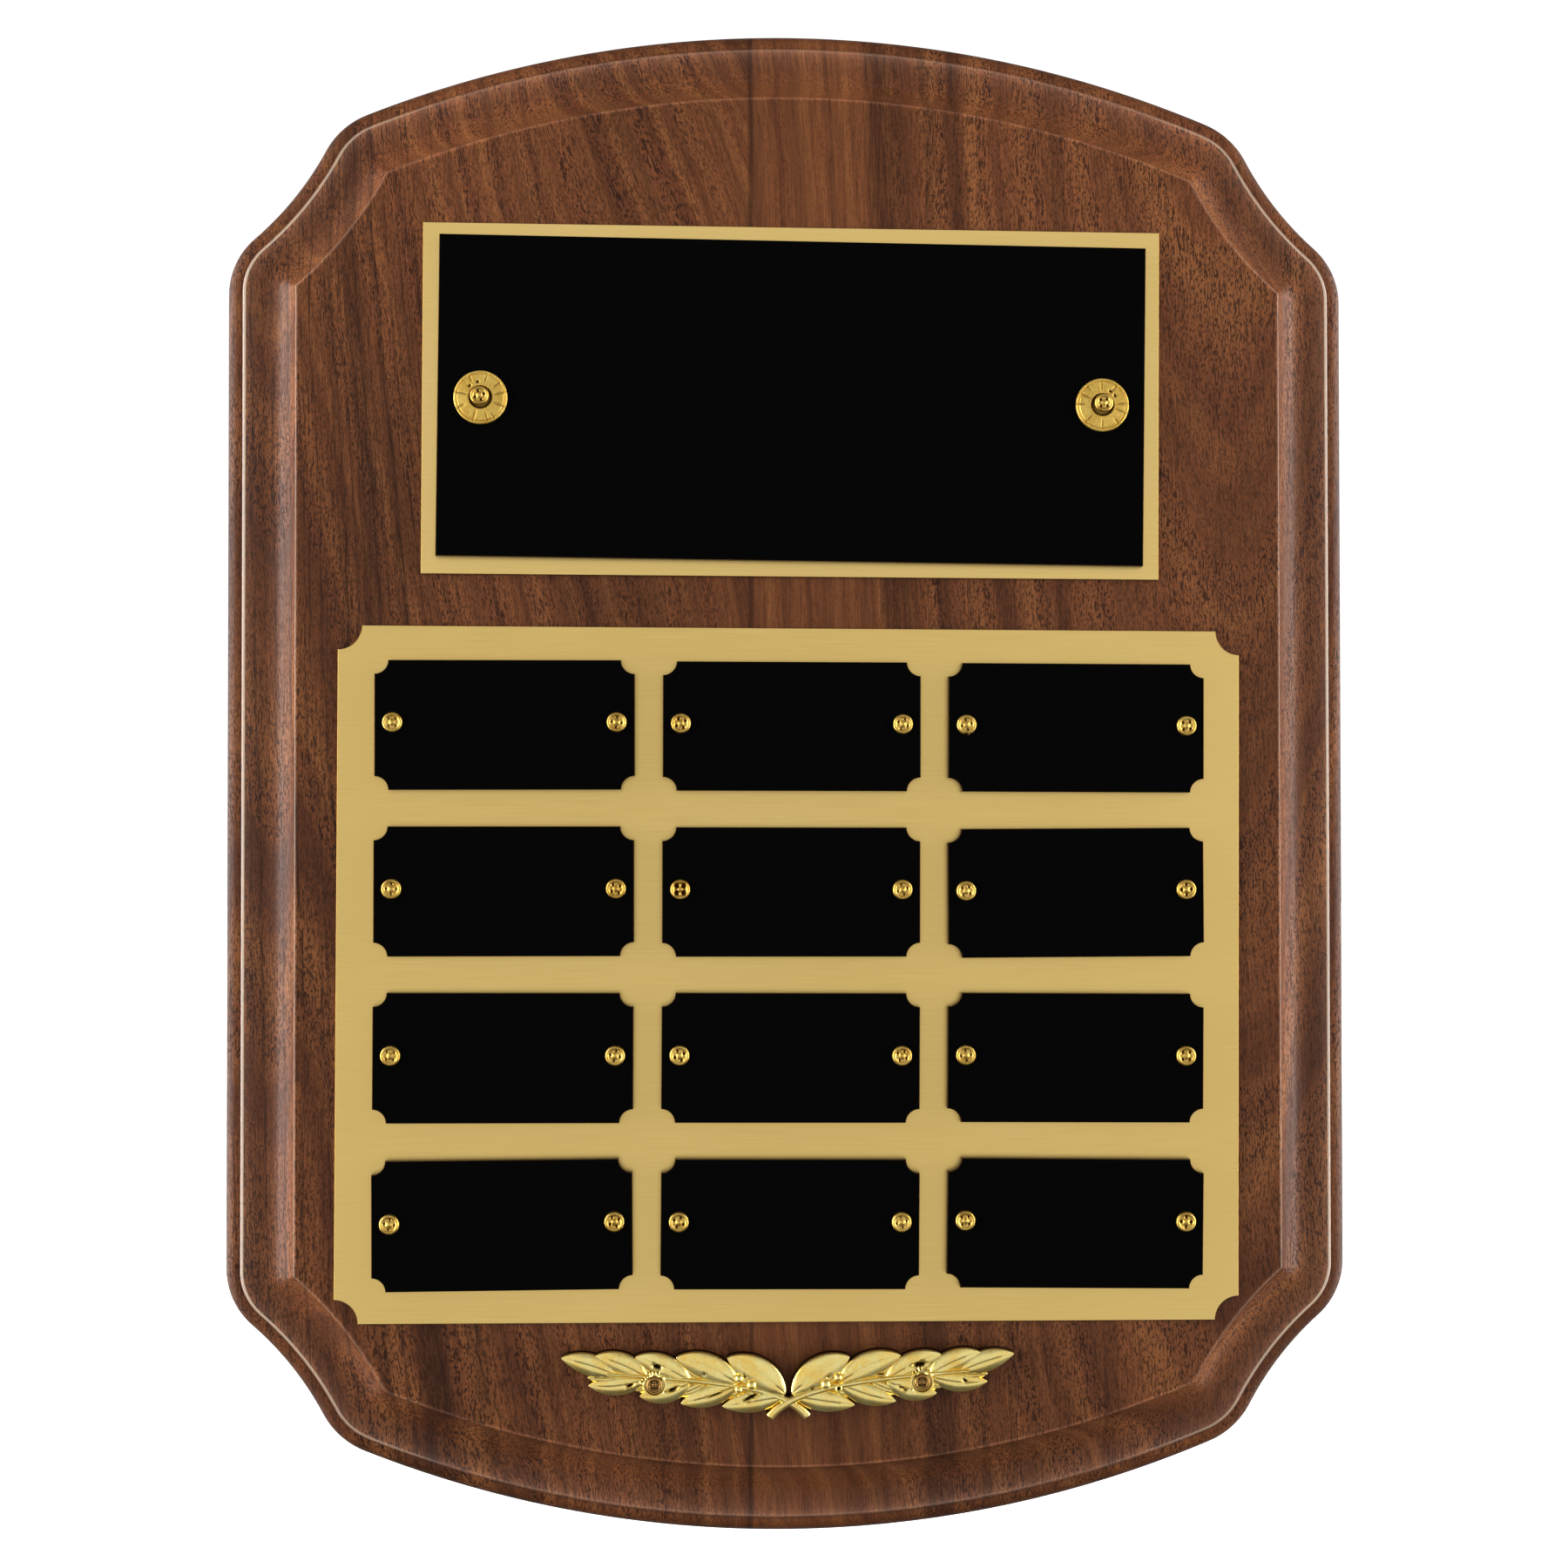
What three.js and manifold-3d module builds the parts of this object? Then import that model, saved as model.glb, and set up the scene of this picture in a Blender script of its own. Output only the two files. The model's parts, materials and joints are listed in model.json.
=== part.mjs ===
// Perpetual wall plaque: a routed walnut board that carries a two-layer header plate,
// a brass grid sheet with twelve black nameplates, and a cast laurel spray.
// Millimetres. The plaque hangs on a wall: the wall is the plane y = 0, the front looks
// along -Y, +Z is up, and the origin is the centre of the board's back face.

import * as THREE from 'three';
import { mergeVertices } from 'three/addons/utils/BufferGeometryUtils.js';
import Module from 'manifold-3d';

const wasm = await Module();
wasm.setup();

// ---------------------------------------------------------------- driving dimensions

const boardWidth = 266;
const boardHeight = 356;
const boardThickness = 19;

const crownRadius = 266;         // top and bottom arcs
const crownHalfAngle = 22.2;     // degrees, from the middle of the crown to its shoulder
const shoulderRadius = 19.4;     // where the crown turns into the scallop
const scallopRadius = 75;        // the hollow stretch at each corner
const sideCornerRadius = 17.9;   // where the scallop turns into the straight side
const sideHalfLength = 115;      // straight side, from mid height

const lowerTierHeight = 8.2;     // square edge, up from the back face
const lowerTierRound = 3.3;      // round-over above it
const lipOffset = 4.5;           // top outer edge of the moulding, in from the outline
const lipHeight = 13.3;
const coveStart = 8.8;           // where the cove begins to rise
const arrisOffset = 17.5;        // sharp inner edge of the cove, in from the outline
const backChamfer = 0.6;

const sheetThickness = 0.75;     // brass backing sheets
const plateThickness = 2.2;      // black engraving plates

const header = { x: 0.3, y: 88.5, tilt: -0.3 };
const headerBacking = { width: 173, height: 82.2 };
const headerPlate = { width: 165.4, height: 74.9, tilt: -0.35, dropY: -0.1 };
const rosetteSpacing = 145.6;
const rosetteRadius = 6.6;
const rosetteThickness = 1.2;

const grid = { x: -0.25, y: -45.6, tilt: -0.25 };
const gridBacking = { width: 211.2, height: 162, notch: 5.6 };
const columnPitch = 66.7;
const rowPitch = 38.6;
const nameplate = { width: 60.2, height: 30.1, notch: 3.2 };
const nameplateLeans = [         // degrees each is set off the grid sheet, by row and column
  [0.3, 0.1, 0],
  [0.2, 0.1, 0.5],
  [0, -0.1, -0.2],
  [0.5, -0.2, -0.5],
];
const pinSpacing = 51.8;
const pinLift = 0.6;             // the pins sit a little above each nameplate's middle

const laurel = { x: -1, y: -142.2 };
const laurelBody = 4.4;          // height of the casting's side walls
const laurelCrest = 5.3;         // height of the raised leaves

const pinHeadRadius = 2.35;
const pinHeadHeight = 1.15;
const pinShankRadius = 0.65;
const pinLength = 11;
const headerPinHeadRadius = 2.2;
const laurelPinHeadRadius = 1.9;
const pilotRadius = 1.05;        // holes in sheets, plates and board
const pilotDepth = 11;           // into the board, from its front face

const keyhole = {                // routed hanging slot in the back of the board
  y: 116,
  entryRadius: 5,
  neckWidth: 5.2,
  travel: 12,
  lipDepth: 4.4,
  depth: 10,
};

const roundSides = 8;            // sides of small round holes and pins
const fullTurn = 2 * Math.PI;
const quarterTurn = Math.PI / 2;

// ---------------------------------------------------------------- finishes

const finishes = {
  walnut: { color: 0x6b432b, roughness: 0.42, metalness: 0 },
  brushedBrass: { color: 0xcdb06a, roughness: 0.32, metalness: 1 },
  blackLacquer: { color: 0x060606, roughness: 0.3, metalness: 0 },
  gildedPin: { color: 0xd9b052, roughness: 0.28, metalness: 1 },
  castGold: { color: 0xe6cd74, roughness: 0.25, metalness: 1 },
};

function finish(name) {
  return new THREE.MeshStandardMaterial({ name, ...finishes[name] });
}

// ---------------------------------------------------------------- solids

function toSolid(geometry) {
  const bare = geometry.clone();
  bare.deleteAttribute('normal');
  bare.deleteAttribute('uv');
  const merged = mergeVertices(bare, 1e-4);
  return new wasm.Manifold(new wasm.Mesh({
    numProp: 3,
    vertProperties: new Float32Array(merged.attributes.position.array),
    triVerts: new Uint32Array(merged.index.array),
  }));
}

function toGeometry(solid) {
  const mesh = solid.getMesh();
  const geometry = new THREE.BufferGeometry();
  geometry.setAttribute('position', new THREE.BufferAttribute(mesh.vertProperties, 3));
  geometry.setIndex(new THREE.BufferAttribute(mesh.triVerts, 1));
  geometry.computeVertexNormals();
  return geometry;
}

function joinAll(geometries) {
  return geometries.map(toSolid).reduce((whole, piece) => whole.add(piece));
}

function cutAll(solid, cutters) {
  return cutters.map(toSolid).reduce((rest, cutter) => rest.subtract(cutter), solid);
}

// A closed solid through a stack of rings with equal point counts, capped at both ends.
function loft(rings) {
  const count = rings[0].length;
  const positions = rings.flatMap((ring) => ring.flatMap((p) => [p.x, p.y, p.z]));
  const index = [];
  for (let k = 0; k < rings.length - 1; k += 1) {
    for (let i = 0; i < count; i += 1) {
      const a = k * count + i;
      const b = k * count + ((i + 1) % count);
      index.push(a, b, b + count, a, b + count, a + count);
    }
  }
  const top = (rings.length - 1) * count;
  const flat = (ring) => ring.map((p) => new THREE.Vector2(p.x, p.y));
  for (const [a, b, c] of THREE.ShapeUtils.triangulateShape(flat(rings[0]), [])) {
    index.push(a, c, b);
  }
  for (const [a, b, c] of THREE.ShapeUtils.triangulateShape(flat(rings.at(-1)), [])) {
    index.push(top + a, top + b, top + c);
  }
  const geometry = new THREE.BufferGeometry();
  geometry.setAttribute('position', new THREE.Float32BufferAttribute(positions, 3));
  geometry.setIndex(index);
  return geometry;
}

// A post along Z between two heights, for round holes and bosses.
function post(x, y, radius, zLow, zHigh, sides = roundSides) {
  const geometry = new THREE.CylinderGeometry(radius, radius, zHigh - zLow, sides);
  geometry.rotateX(quarterTurn);
  geometry.translate(x, y, (zLow + zHigh) / 2);
  return geometry;
}

function block(width, height, zLow, zHigh, x, y) {
  const geometry = new THREE.BoxGeometry(width, height, zHigh - zLow);
  geometry.translate(x, y, (zLow + zHigh) / 2);
  return geometry;
}

function ringHole(x, y, radius) {
  const hole = new THREE.Path();
  hole.absarc(x, y, radius, 0, fullTurn, true);
  return hole;
}

// ---------------------------------------------------------------- board

function arc(centre, radius, from, to, steps) {
  return Array.from({ length: steps }, (_, i) => {
    const angle = from + ((to - from) * i) / steps;
    return new THREE.Vector2(
      centre.x + radius * Math.cos(angle),
      centre.y + radius * Math.sin(angle),
    );
  });
}

function angleTo(from, to) {
  return Math.atan2(to.y - from.y, to.x - from.x);
}

// Centres of the four arcs of one corner, worked out from where they touch each other.
function cornerCentres() {
  const lean = THREE.MathUtils.degToRad(crownHalfAngle);
  const crown = new THREE.Vector2(0, boardHeight / 2 - crownRadius);
  const shoulder = new THREE.Vector2(Math.sin(lean), Math.cos(lean))
    .multiplyScalar(crownRadius - shoulderRadius)
    .add(crown);
  const side = new THREE.Vector2(boardWidth / 2 - sideCornerRadius, sideHalfLength);
  const span = shoulder.clone().sub(side);
  const length = span.length();
  const reachSide = sideCornerRadius + scallopRadius;
  const reachShoulder = shoulderRadius + scallopRadius;
  const along = (reachSide ** 2 - reachShoulder ** 2 + length ** 2) / (2 * length);
  const out = Math.sqrt(reachSide ** 2 - along ** 2);
  const unit = span.divideScalar(length);
  const scallop = side.clone().addScaledVector(unit, along)
    .addScaledVector(new THREE.Vector2(unit.y, -unit.x), out);
  return { crown, shoulder, side, scallop, lean };
}

// The board's outline moved inwards by an offset, counter-clockwise from the front.
function boardOutline(offset) {
  const { crown, shoulder, side, scallop, lean } = cornerCentres();
  const hollowFrom = angleTo(scallop, side);
  const hollowTo = angleTo(scallop, shoulder);
  const quarter = [
    ...arc(side, sideCornerRadius - offset, 0, angleTo(side, scallop), 3),
    ...arc(scallop, scallopRadius + offset, hollowFrom + fullTurn * (hollowFrom < 0),
      hollowTo + fullTurn * (hollowTo < 0), 4),
    ...arc(shoulder, shoulderRadius - offset, angleTo(shoulder, scallop),
      quarterTurn - lean, 3),
    ...arc(crown, crownRadius - offset, quarterTurn - lean, quarterTurn, 5),
  ];
  const top = new THREE.Vector2(0, boardHeight / 2 - offset);
  const mirrorX = (p) => new THREE.Vector2(-p.x, p.y);
  const mirrorY = (p) => new THREE.Vector2(p.x, -p.y);
  const upper = [...quarter, top, ...quarter.map(mirrorX).reverse()];
  return [...upper, ...upper.map(mirrorY).reverse()];
}

// The moulding: [offset in from the outline, height above the back face], back to front.
function mouldingStations() {
  const stations = [[backChamfer, 0], [0, backChamfer], [0, lowerTierHeight]];
  const roundSteps = 3;
  for (let i = 1; i <= roundSteps; i += 1) {
    const angle = (quarterTurn * i) / roundSteps;
    stations.push([
      lowerTierRound * (1 - Math.cos(angle)),
      lowerTierHeight + lowerTierRound * Math.sin(angle),
    ]);
  }
  stations.push([lipOffset - 0.5, lipHeight - 0.5]);
  stations.push([lipOffset, lipHeight]);
  const rise = boardThickness - lipHeight;
  const run = arrisOffset - coveStart;
  const coveRadius = (run ** 2 + rise ** 2) / (2 * rise);
  const coveAngle = Math.asin(run / coveRadius);
  const coveSteps = 5;
  for (let i = 0; i <= coveSteps; i += 1) {
    const angle = (coveAngle * i) / coveSteps;
    stations.push([
      coveStart + coveRadius * Math.sin(angle),
      lipHeight + coveRadius * (1 - Math.cos(angle)),
    ]);
  }
  return stations;
}

// The hanging slot: a round entry, a narrow neck above it, and a wider undercut behind.
function keyholeCutters() {
  const { y, entryRadius, neckWidth, travel, lipDepth, depth } = keyhole;
  const middle = y + travel / 2;
  const below = -1;
  return [
    post(0, y, entryRadius, below, depth, 16),
    post(0, y + travel, neckWidth / 2, below, depth, 12),
    block(neckWidth, travel, below, depth, 0, middle),
    post(0, y + travel, entryRadius, lipDepth, depth, 16),
    block(2 * entryRadius, travel, lipDepth, depth, 0, middle),
  ];
}

function boardSolid(pilots) {
  const rings = mouldingStations().map(([offset, height]) => boardOutline(offset)
    .map((p) => new THREE.Vector3(p.x, p.y, height)));
  const above = boardThickness + 1;
  const holes = pilots.map(({ x, y }) => (
    post(x, y, pilotRadius, boardThickness - pilotDepth, above)
  ));
  return cutAll(toSolid(loft(rings)), [...holes, ...keyholeCutters()]);
}

// ---------------------------------------------------------------- sheets and plates

// A rectangle whose corners are scooped by quarter circles; a notch of 0 leaves it square.
function scoopedRectangle(width, height, notch) {
  const x = width / 2;
  const y = height / 2;
  const outline = new THREE.Shape();
  if (notch === 0) {
    outline.moveTo(-x, -y);
    outline.lineTo(x, -y);
    outline.lineTo(x, y);
    outline.lineTo(-x, y);
    outline.closePath();
    return outline;
  }
  outline.moveTo(-x + notch, -y);
  outline.lineTo(x - notch, -y);
  outline.absarc(x, -y, notch, Math.PI, quarterTurn, true);
  outline.lineTo(x, y - notch);
  outline.absarc(x, y, notch, -quarterTurn, -Math.PI, true);
  outline.lineTo(-x + notch, y);
  outline.absarc(-x, y, notch, 0, -quarterTurn, true);
  outline.lineTo(-x, -y + notch);
  outline.absarc(-x, -y, notch, quarterTurn, 0, true);
  outline.closePath();
  return outline;
}

function sheetGeometry({ width, height, notch = 0 }, thickness, holes) {
  const outline = scoopedRectangle(width, height, notch);
  outline.holes = holes.map(({ x, y }) => ringHole(x, y, pilotRadius));
  return new THREE.ExtrudeGeometry(outline, {
    depth: thickness,
    bevelEnabled: false,
    curveSegments: roundSides / 2,
  });
}

// ---------------------------------------------------------------- fasteners

// A drive pin: pointed shank below z = 0, domed head above it with a punched centre.
function pinGeometry(headRadius) {
  const profile = [
    [0, -pinLength],
    [pinShankRadius, -pinLength + 1.6],
    [pinShankRadius, 0],
    [headRadius, 0],
    [headRadius, 0.3],
    [headRadius * 0.8, pinHeadHeight * 0.75],
    [headRadius * 0.4, pinHeadHeight],
    [headRadius * 0.25, pinHeadHeight - 0.35],
    [0, pinHeadHeight - 0.4],
  ].map(([r, z]) => new THREE.Vector2(r, z));
  const geometry = new THREE.LatheGeometry(profile, roundSides);
  geometry.rotateX(quarterTurn);
  return geometry;
}

// A pressed rosette washer: raised rim, ring groove, eight petals and a sunk centre.
function rosetteSolid() {
  const profile = [
    [pilotRadius, 0],
    [rosetteRadius, 0],
    [rosetteRadius, 0.6],
    [rosetteRadius - 0.3, 0.95],
    [rosetteRadius - 0.8, 0.95],
    [rosetteRadius - 1, 0.7],
    [rosetteRadius - 1.4, 1.05],
    [3.2, rosetteThickness],
    [2.8, 0.7],
    [pilotRadius, 0.7],
    [pilotRadius, 0],
  ].map(([r, z]) => new THREE.Vector2(r, z));
  const disc = new THREE.LatheGeometry(profile, 16);
  disc.rotateX(quarterTurn);
  const petals = 8;
  const grooves = Array.from({ length: petals }, (_, i) => {
    const groove = block(2, 0.35, 0.95, 2, 4.1, 0);
    groove.rotateZ((fullTurn * (i + 0.5)) / petals);
    return groove;
  });
  return cutAll(toSolid(disc), grooves);
}

// ---------------------------------------------------------------- laurel spray

// Leaves of one branch: where each starts on the stem and where its tip ends, outwards
// from the crossing, with its half width; the last is the leaf at the branch's end.
const leaves = [
  { base: [1.2, 0.6], tip: [14.2, 7.6], halfWidth: 2.9 },
  { base: [12.6, 3.2], tip: [26, 7.8], halfWidth: 2.3 },
  { base: [23.6, 3.2], tip: [35.4, 8], halfWidth: 2.2 },
  { base: [33.2, 3.9], tip: [44.6, 8.4], halfWidth: 2.1 },
  { base: [1.6, 0.4], tip: [15.4, -2.4], halfWidth: 2.1 },
  { base: [12.6, 2.8], tip: [25, -1.8], halfWidth: 2.1 },
  { base: [23.8, 3], tip: [34.6, -0.4], halfWidth: 2.1 },
  { base: [33.6, 3.8], tip: [46.4, 2], halfWidth: 1.9 },
  { base: [40.6, 4.6], tip: [52.4, 8.2], halfWidth: 2.1 },
];
const stemEnd = [42, 4.8];
const stemTail = [-4.4, -5.4];
const nailSeat = [31, 2.2];
const nailSeatRadius = 3;
const berries = [[11.6, 3.9], [9, 2.2], [11.6, 1.2]];
const berryRadius = 1;

function leafGeometry({ base, tip, halfWidth }, lift) {
  const run = tip[0] - base[0];
  const rise = tip[1] - base[1];
  const length = Math.hypot(run, rise);
  const outline = new THREE.Shape();
  outline.moveTo(0, 0);
  outline.bezierCurveTo(length * 0.25, -halfWidth * 1.5, length * 0.7, -halfWidth * 1.1,
    length, 0);
  outline.bezierCurveTo(length * 0.7, halfWidth * 1.1, length * 0.25, halfWidth * 1.5,
    0, 0);
  const points = outline.getPoints(4).slice(0, -1);
  const shrunk = (share, z) => points.map((p) => new THREE.Vector3(
    length / 2 + (p.x - length / 2) * share,
    p.y * share,
    z,
  ));
  const geometry = loft([
    shrunk(1.06, 0),
    shrunk(1, laurelBody + lift),
    shrunk(0.5, laurelCrest + lift),
  ]);
  geometry.rotateZ(Math.atan2(rise, run));
  geometry.translate(base[0], base[1], 0);
  return geometry;
}

// The branch's stem, from its cut tail past the crossing to the end leaf.
function stemGeometry() {
  const line = new THREE.CubicBezierCurve(
    new THREE.Vector2(...stemTail),
    new THREE.Vector2(1, 0.6),
    new THREE.Vector2(12, 2.8),
    new THREE.Vector2(...stemEnd),
  );
  const steps = 8;
  const edge = (side, spread) => Array.from({ length: steps + 1 }, (_, i) => {
    const t = i / steps;
    const middle = line.getPoint(t);
    const tangent = line.getTangent(t);
    const half = (1.1 - 0.6 * t) * spread * side;
    return new THREE.Vector2(middle.x - tangent.y * half, middle.y + tangent.x * half);
  });
  const ring = (spread, z) => [...edge(-1, spread), ...edge(1, spread).reverse()]
    .map((p) => new THREE.Vector3(p.x, p.y, z));
  return loft([ring(1.15, 0), ring(1, laurelCrest - 0.4), ring(0.5, laurelCrest + 0.1)]);
}

function berryGeometry([x, y]) {
  const berry = new THREE.SphereGeometry(berryRadius, 8, 6);
  berry.translate(x, y, laurelBody + 0.4);
  return berry;
}

function branchSolid() {
  const foliage = leaves.map((leaf, i) => leafGeometry(leaf, 0.07 * (i % 3)));
  const seat = post(...nailSeat, nailSeatRadius, 0, laurelBody + 0.3, 12);
  return joinAll([stemGeometry(), ...foliage, ...berries.map(berryGeometry), seat]);
}

function laurelSolid() {
  const branch = branchSolid();
  const whole = branch.add(branch.mirror([1, 0, 0]));
  const counterbore = laurelPinHeadRadius + 0.35;
  const holes = [1, -1].flatMap((side) => {
    const [x, y] = [nailSeat[0] * side, nailSeat[1]];
    return [
      post(x, y, pilotRadius, -1, laurelCrest + 2),
      post(x, y, counterbore, laurelBody - 0.6, laurelCrest + 2, 12),
    ];
  });
  return cutAll(whole, holes);
}

// ---------------------------------------------------------------- places

function turned(frame, x, y) {
  const angle = THREE.MathUtils.degToRad(frame.tilt);
  return {
    x: frame.x + x * Math.cos(angle) - y * Math.sin(angle),
    y: frame.y + x * Math.sin(angle) + y * Math.cos(angle),
  };
}

const frontFace = boardThickness;
const sheetFront = frontFace + sheetThickness;
const plateFront = sheetFront + plateThickness;

const rosettePlaces = [
  { side: 'left', x: -rosetteSpacing / 2, y: 0 },
  { side: 'right', x: rosetteSpacing / 2, y: 0 },
];

const lastRow = nameplateLeans.length - 1;
const lastColumn = nameplateLeans[0].length - 1;
const nameplatePlaces = nameplateLeans.flatMap((leans, row) => leans.map((tilt, column) => ({
  name: `row${row + 1}_column${column + 1}`,
  x: (column - lastColumn / 2) * columnPitch,
  y: (lastRow / 2 - row) * rowPitch,
  tilt,
})));
const pinPlaces = [
  { side: 'left', x: -pinSpacing / 2, y: pinLift },
  { side: 'right', x: pinSpacing / 2, y: pinLift },
];
const gridPins = nameplatePlaces.flatMap((plate) => pinPlaces.map((pin) => ({
  name: `nameplate_pin_${plate.name}_${pin.side}`,
  ...turned(plate, pin.x, pin.y),
})));
const laurelPins = [
  { side: 'left', x: -nailSeat[0], y: nailSeat[1] },
  { side: 'right', x: nailSeat[0], y: nailSeat[1] },
];

const pilots = [
  ...rosettePlaces.map(({ x, y }) => turned(header, x, y)),
  ...gridPins.map(({ x, y }) => turned(grid, x, y)),
  ...laurelPins.map(({ x, y }) => ({ x: laurel.x + x, y: laurel.y + y })),
];

// ---------------------------------------------------------------- assembly

const plaque = new THREE.Group();
plaque.rotation.x = quarterTurn;    // the plaque's own up becomes +Z, its front -Y

function place(parent, name, geometry, finishName, x, y, z) {
  const mesh = new THREE.Mesh(geometry, finish(finishName));
  mesh.name = name;
  mesh.position.set(x, y, z);
  parent.add(mesh);
  return mesh;
}

function tiltedGroup({ x, y, tilt }) {
  const group = new THREE.Group();
  group.position.set(x, y, 0);
  group.rotation.z = THREE.MathUtils.degToRad(tilt);
  plaque.add(group);
  return group;
}

place(plaque, 'board', toGeometry(boardSolid(pilots)), 'walnut', 0, 0, 0);

const headerGroup = tiltedGroup(header);
place(headerGroup, 'header_backing',
  sheetGeometry(headerBacking, sheetThickness, rosettePlaces), 'brushedBrass',
  0, 0, frontFace);
const lean = THREE.MathUtils.degToRad(headerPlate.tilt);
const plateHoles = rosettePlaces.map(({ x, y }) => ({
  x: x * Math.cos(-lean) - (y - headerPlate.dropY) * Math.sin(-lean),
  y: x * Math.sin(-lean) + (y - headerPlate.dropY) * Math.cos(-lean),
}));
const headerPlateMesh = place(headerGroup, 'header_plate',
  sheetGeometry(headerPlate, plateThickness, plateHoles), 'blackLacquer',
  0, headerPlate.dropY, sheetFront);
headerPlateMesh.rotation.z = lean;
for (const { side, x, y } of rosettePlaces) {
  place(headerGroup, `header_rosette_${side}`, toGeometry(rosetteSolid()), 'gildedPin',
    x, y, plateFront);
  place(headerGroup, `header_pin_${side}`, pinGeometry(headerPinHeadRadius), 'gildedPin',
    x, y, plateFront + rosetteThickness);
}

const gridGroup = tiltedGroup(grid);
place(gridGroup, 'grid_backing', sheetGeometry(gridBacking, sheetThickness, gridPins),
  'brushedBrass', 0, 0, frontFace);
for (const { name, x, y, tilt } of nameplatePlaces) {
  const mesh = place(gridGroup, `nameplate_${name}`,
    sheetGeometry(nameplate, plateThickness, pinPlaces), 'blackLacquer',
    x, y, sheetFront);
  mesh.rotation.z = THREE.MathUtils.degToRad(tilt);
}
for (const { name, x, y } of gridPins) {
  place(gridGroup, name, pinGeometry(pinHeadRadius), 'gildedPin', x, y, plateFront);
}

place(plaque, 'laurel_spray', toGeometry(laurelSolid()), 'castGold',
  laurel.x, laurel.y, frontFace);
for (const { side, x, y } of laurelPins) {
  place(plaque, `laurel_pin_${side}`, pinGeometry(laurelPinHeadRadius), 'gildedPin',
    laurel.x + x, laurel.y + y, frontFace + laurelBody - 0.6);
}

export default plaque;
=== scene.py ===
# A perpetual wall plaque in walnut, brass and black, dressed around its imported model.
# The plaque hangs upright: the wall is y = 0, the front looks along -Y, and +Z is up.

import json
import math

import bmesh
import bpy
from mathutils import Matrix, Vector

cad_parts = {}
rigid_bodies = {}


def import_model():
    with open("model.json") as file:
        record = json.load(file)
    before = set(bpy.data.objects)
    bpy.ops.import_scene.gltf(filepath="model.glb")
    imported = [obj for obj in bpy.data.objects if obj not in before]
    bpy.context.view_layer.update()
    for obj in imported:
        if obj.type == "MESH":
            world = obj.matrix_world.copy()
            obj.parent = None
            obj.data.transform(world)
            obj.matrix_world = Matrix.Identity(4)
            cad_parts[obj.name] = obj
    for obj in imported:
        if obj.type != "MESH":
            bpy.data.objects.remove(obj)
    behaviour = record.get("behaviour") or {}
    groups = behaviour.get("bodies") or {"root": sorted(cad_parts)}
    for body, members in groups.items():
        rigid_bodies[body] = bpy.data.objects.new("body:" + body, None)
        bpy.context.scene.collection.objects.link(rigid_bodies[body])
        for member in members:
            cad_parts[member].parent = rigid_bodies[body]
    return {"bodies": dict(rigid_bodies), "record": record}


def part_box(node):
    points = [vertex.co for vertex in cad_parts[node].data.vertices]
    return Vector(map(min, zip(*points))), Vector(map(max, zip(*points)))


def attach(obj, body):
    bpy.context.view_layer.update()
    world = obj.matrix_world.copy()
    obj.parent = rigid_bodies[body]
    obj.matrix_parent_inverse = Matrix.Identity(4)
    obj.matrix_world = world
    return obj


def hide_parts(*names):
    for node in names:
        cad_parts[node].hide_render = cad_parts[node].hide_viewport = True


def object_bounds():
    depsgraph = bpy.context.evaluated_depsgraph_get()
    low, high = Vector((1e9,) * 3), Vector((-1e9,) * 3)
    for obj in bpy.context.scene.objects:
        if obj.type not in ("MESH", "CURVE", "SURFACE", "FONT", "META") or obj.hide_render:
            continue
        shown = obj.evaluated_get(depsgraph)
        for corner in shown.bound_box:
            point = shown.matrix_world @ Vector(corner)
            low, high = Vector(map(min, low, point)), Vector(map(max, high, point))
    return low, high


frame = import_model()
cad_low, cad_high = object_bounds()
root = next(iter(frame["bodies"]))


# ------------------------------------------------------------------ camera and studio
# A product table: a white sweep behind the plaque, a dim room in front of it, and a bright
# silk with a thin strip light at each side. The camera stands a little left of the middle.

scene = bpy.context.scene
scene.view_settings.view_transform = "Standard"

camera_data = bpy.data.cameras.new("plaque_camera")
camera_data.lens = 52.965
camera = bpy.data.objects.new("plaque_camera", camera_data)
camera_sight = Vector((0.04136, 0.99903, 0.01481)).normalized()
camera_up = Vector((0.00014, -0.01483, 0.99989))
camera_right = camera_sight.cross(camera_up).normalized()
camera_up = camera_right.cross(camera_sight)
camera.matrix_world = Matrix((
    (camera_right.x, camera_up.x, -camera_sight.x, -0.02413),
    (camera_right.y, camera_up.y, -camera_sight.y, -0.55882),
    (camera_right.z, camera_up.z, -camera_sight.z, -0.00910),
    (0, 0, 0, 1),
))
scene.collection.objects.link(camera)
scene.camera = camera


def linear(colour):
    """An sRGB hex colour such as "6b432b" as linear red, green, blue and alpha."""
    channels = [int(colour[i:i + 2], 16) / 255 for i in (0, 2, 4)]
    return (*[c / 12.92 if c <= 0.04045 else ((c + 0.055) / 1.055) ** 2.4 for c in channels], 1)


def plug_in(tree, node, sockets):
    """Gives a node's inputs a value each, or a link from an output or a node's first live output."""
    for name, value in dict(sockets).items():
        if isinstance(value, bpy.types.Node):
            value = next(output for output in value.outputs if output.enabled)
        if isinstance(value, bpy.types.NodeSocket):
            tree.links.new(value, node.inputs[name])
        else:
            node.inputs[name].default_value = value


def add_node(tree, kind, sockets=(), stops=(), **settings):
    """Adds a node: settings are its properties, sockets its inputs, stops a ramp's colours."""
    made = tree.nodes.new(kind)
    for name, value in settings.items():
        setattr(made, name, value)
    if stops:
        elements = made.color_ramp.elements
        while len(elements) < len(stops):
            elements.new(1)
        for element, (place, colour) in zip(elements, stops):
            element.position = place
            element.color = linear(colour)
    plug_in(tree, made, sockets)
    return made


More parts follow.
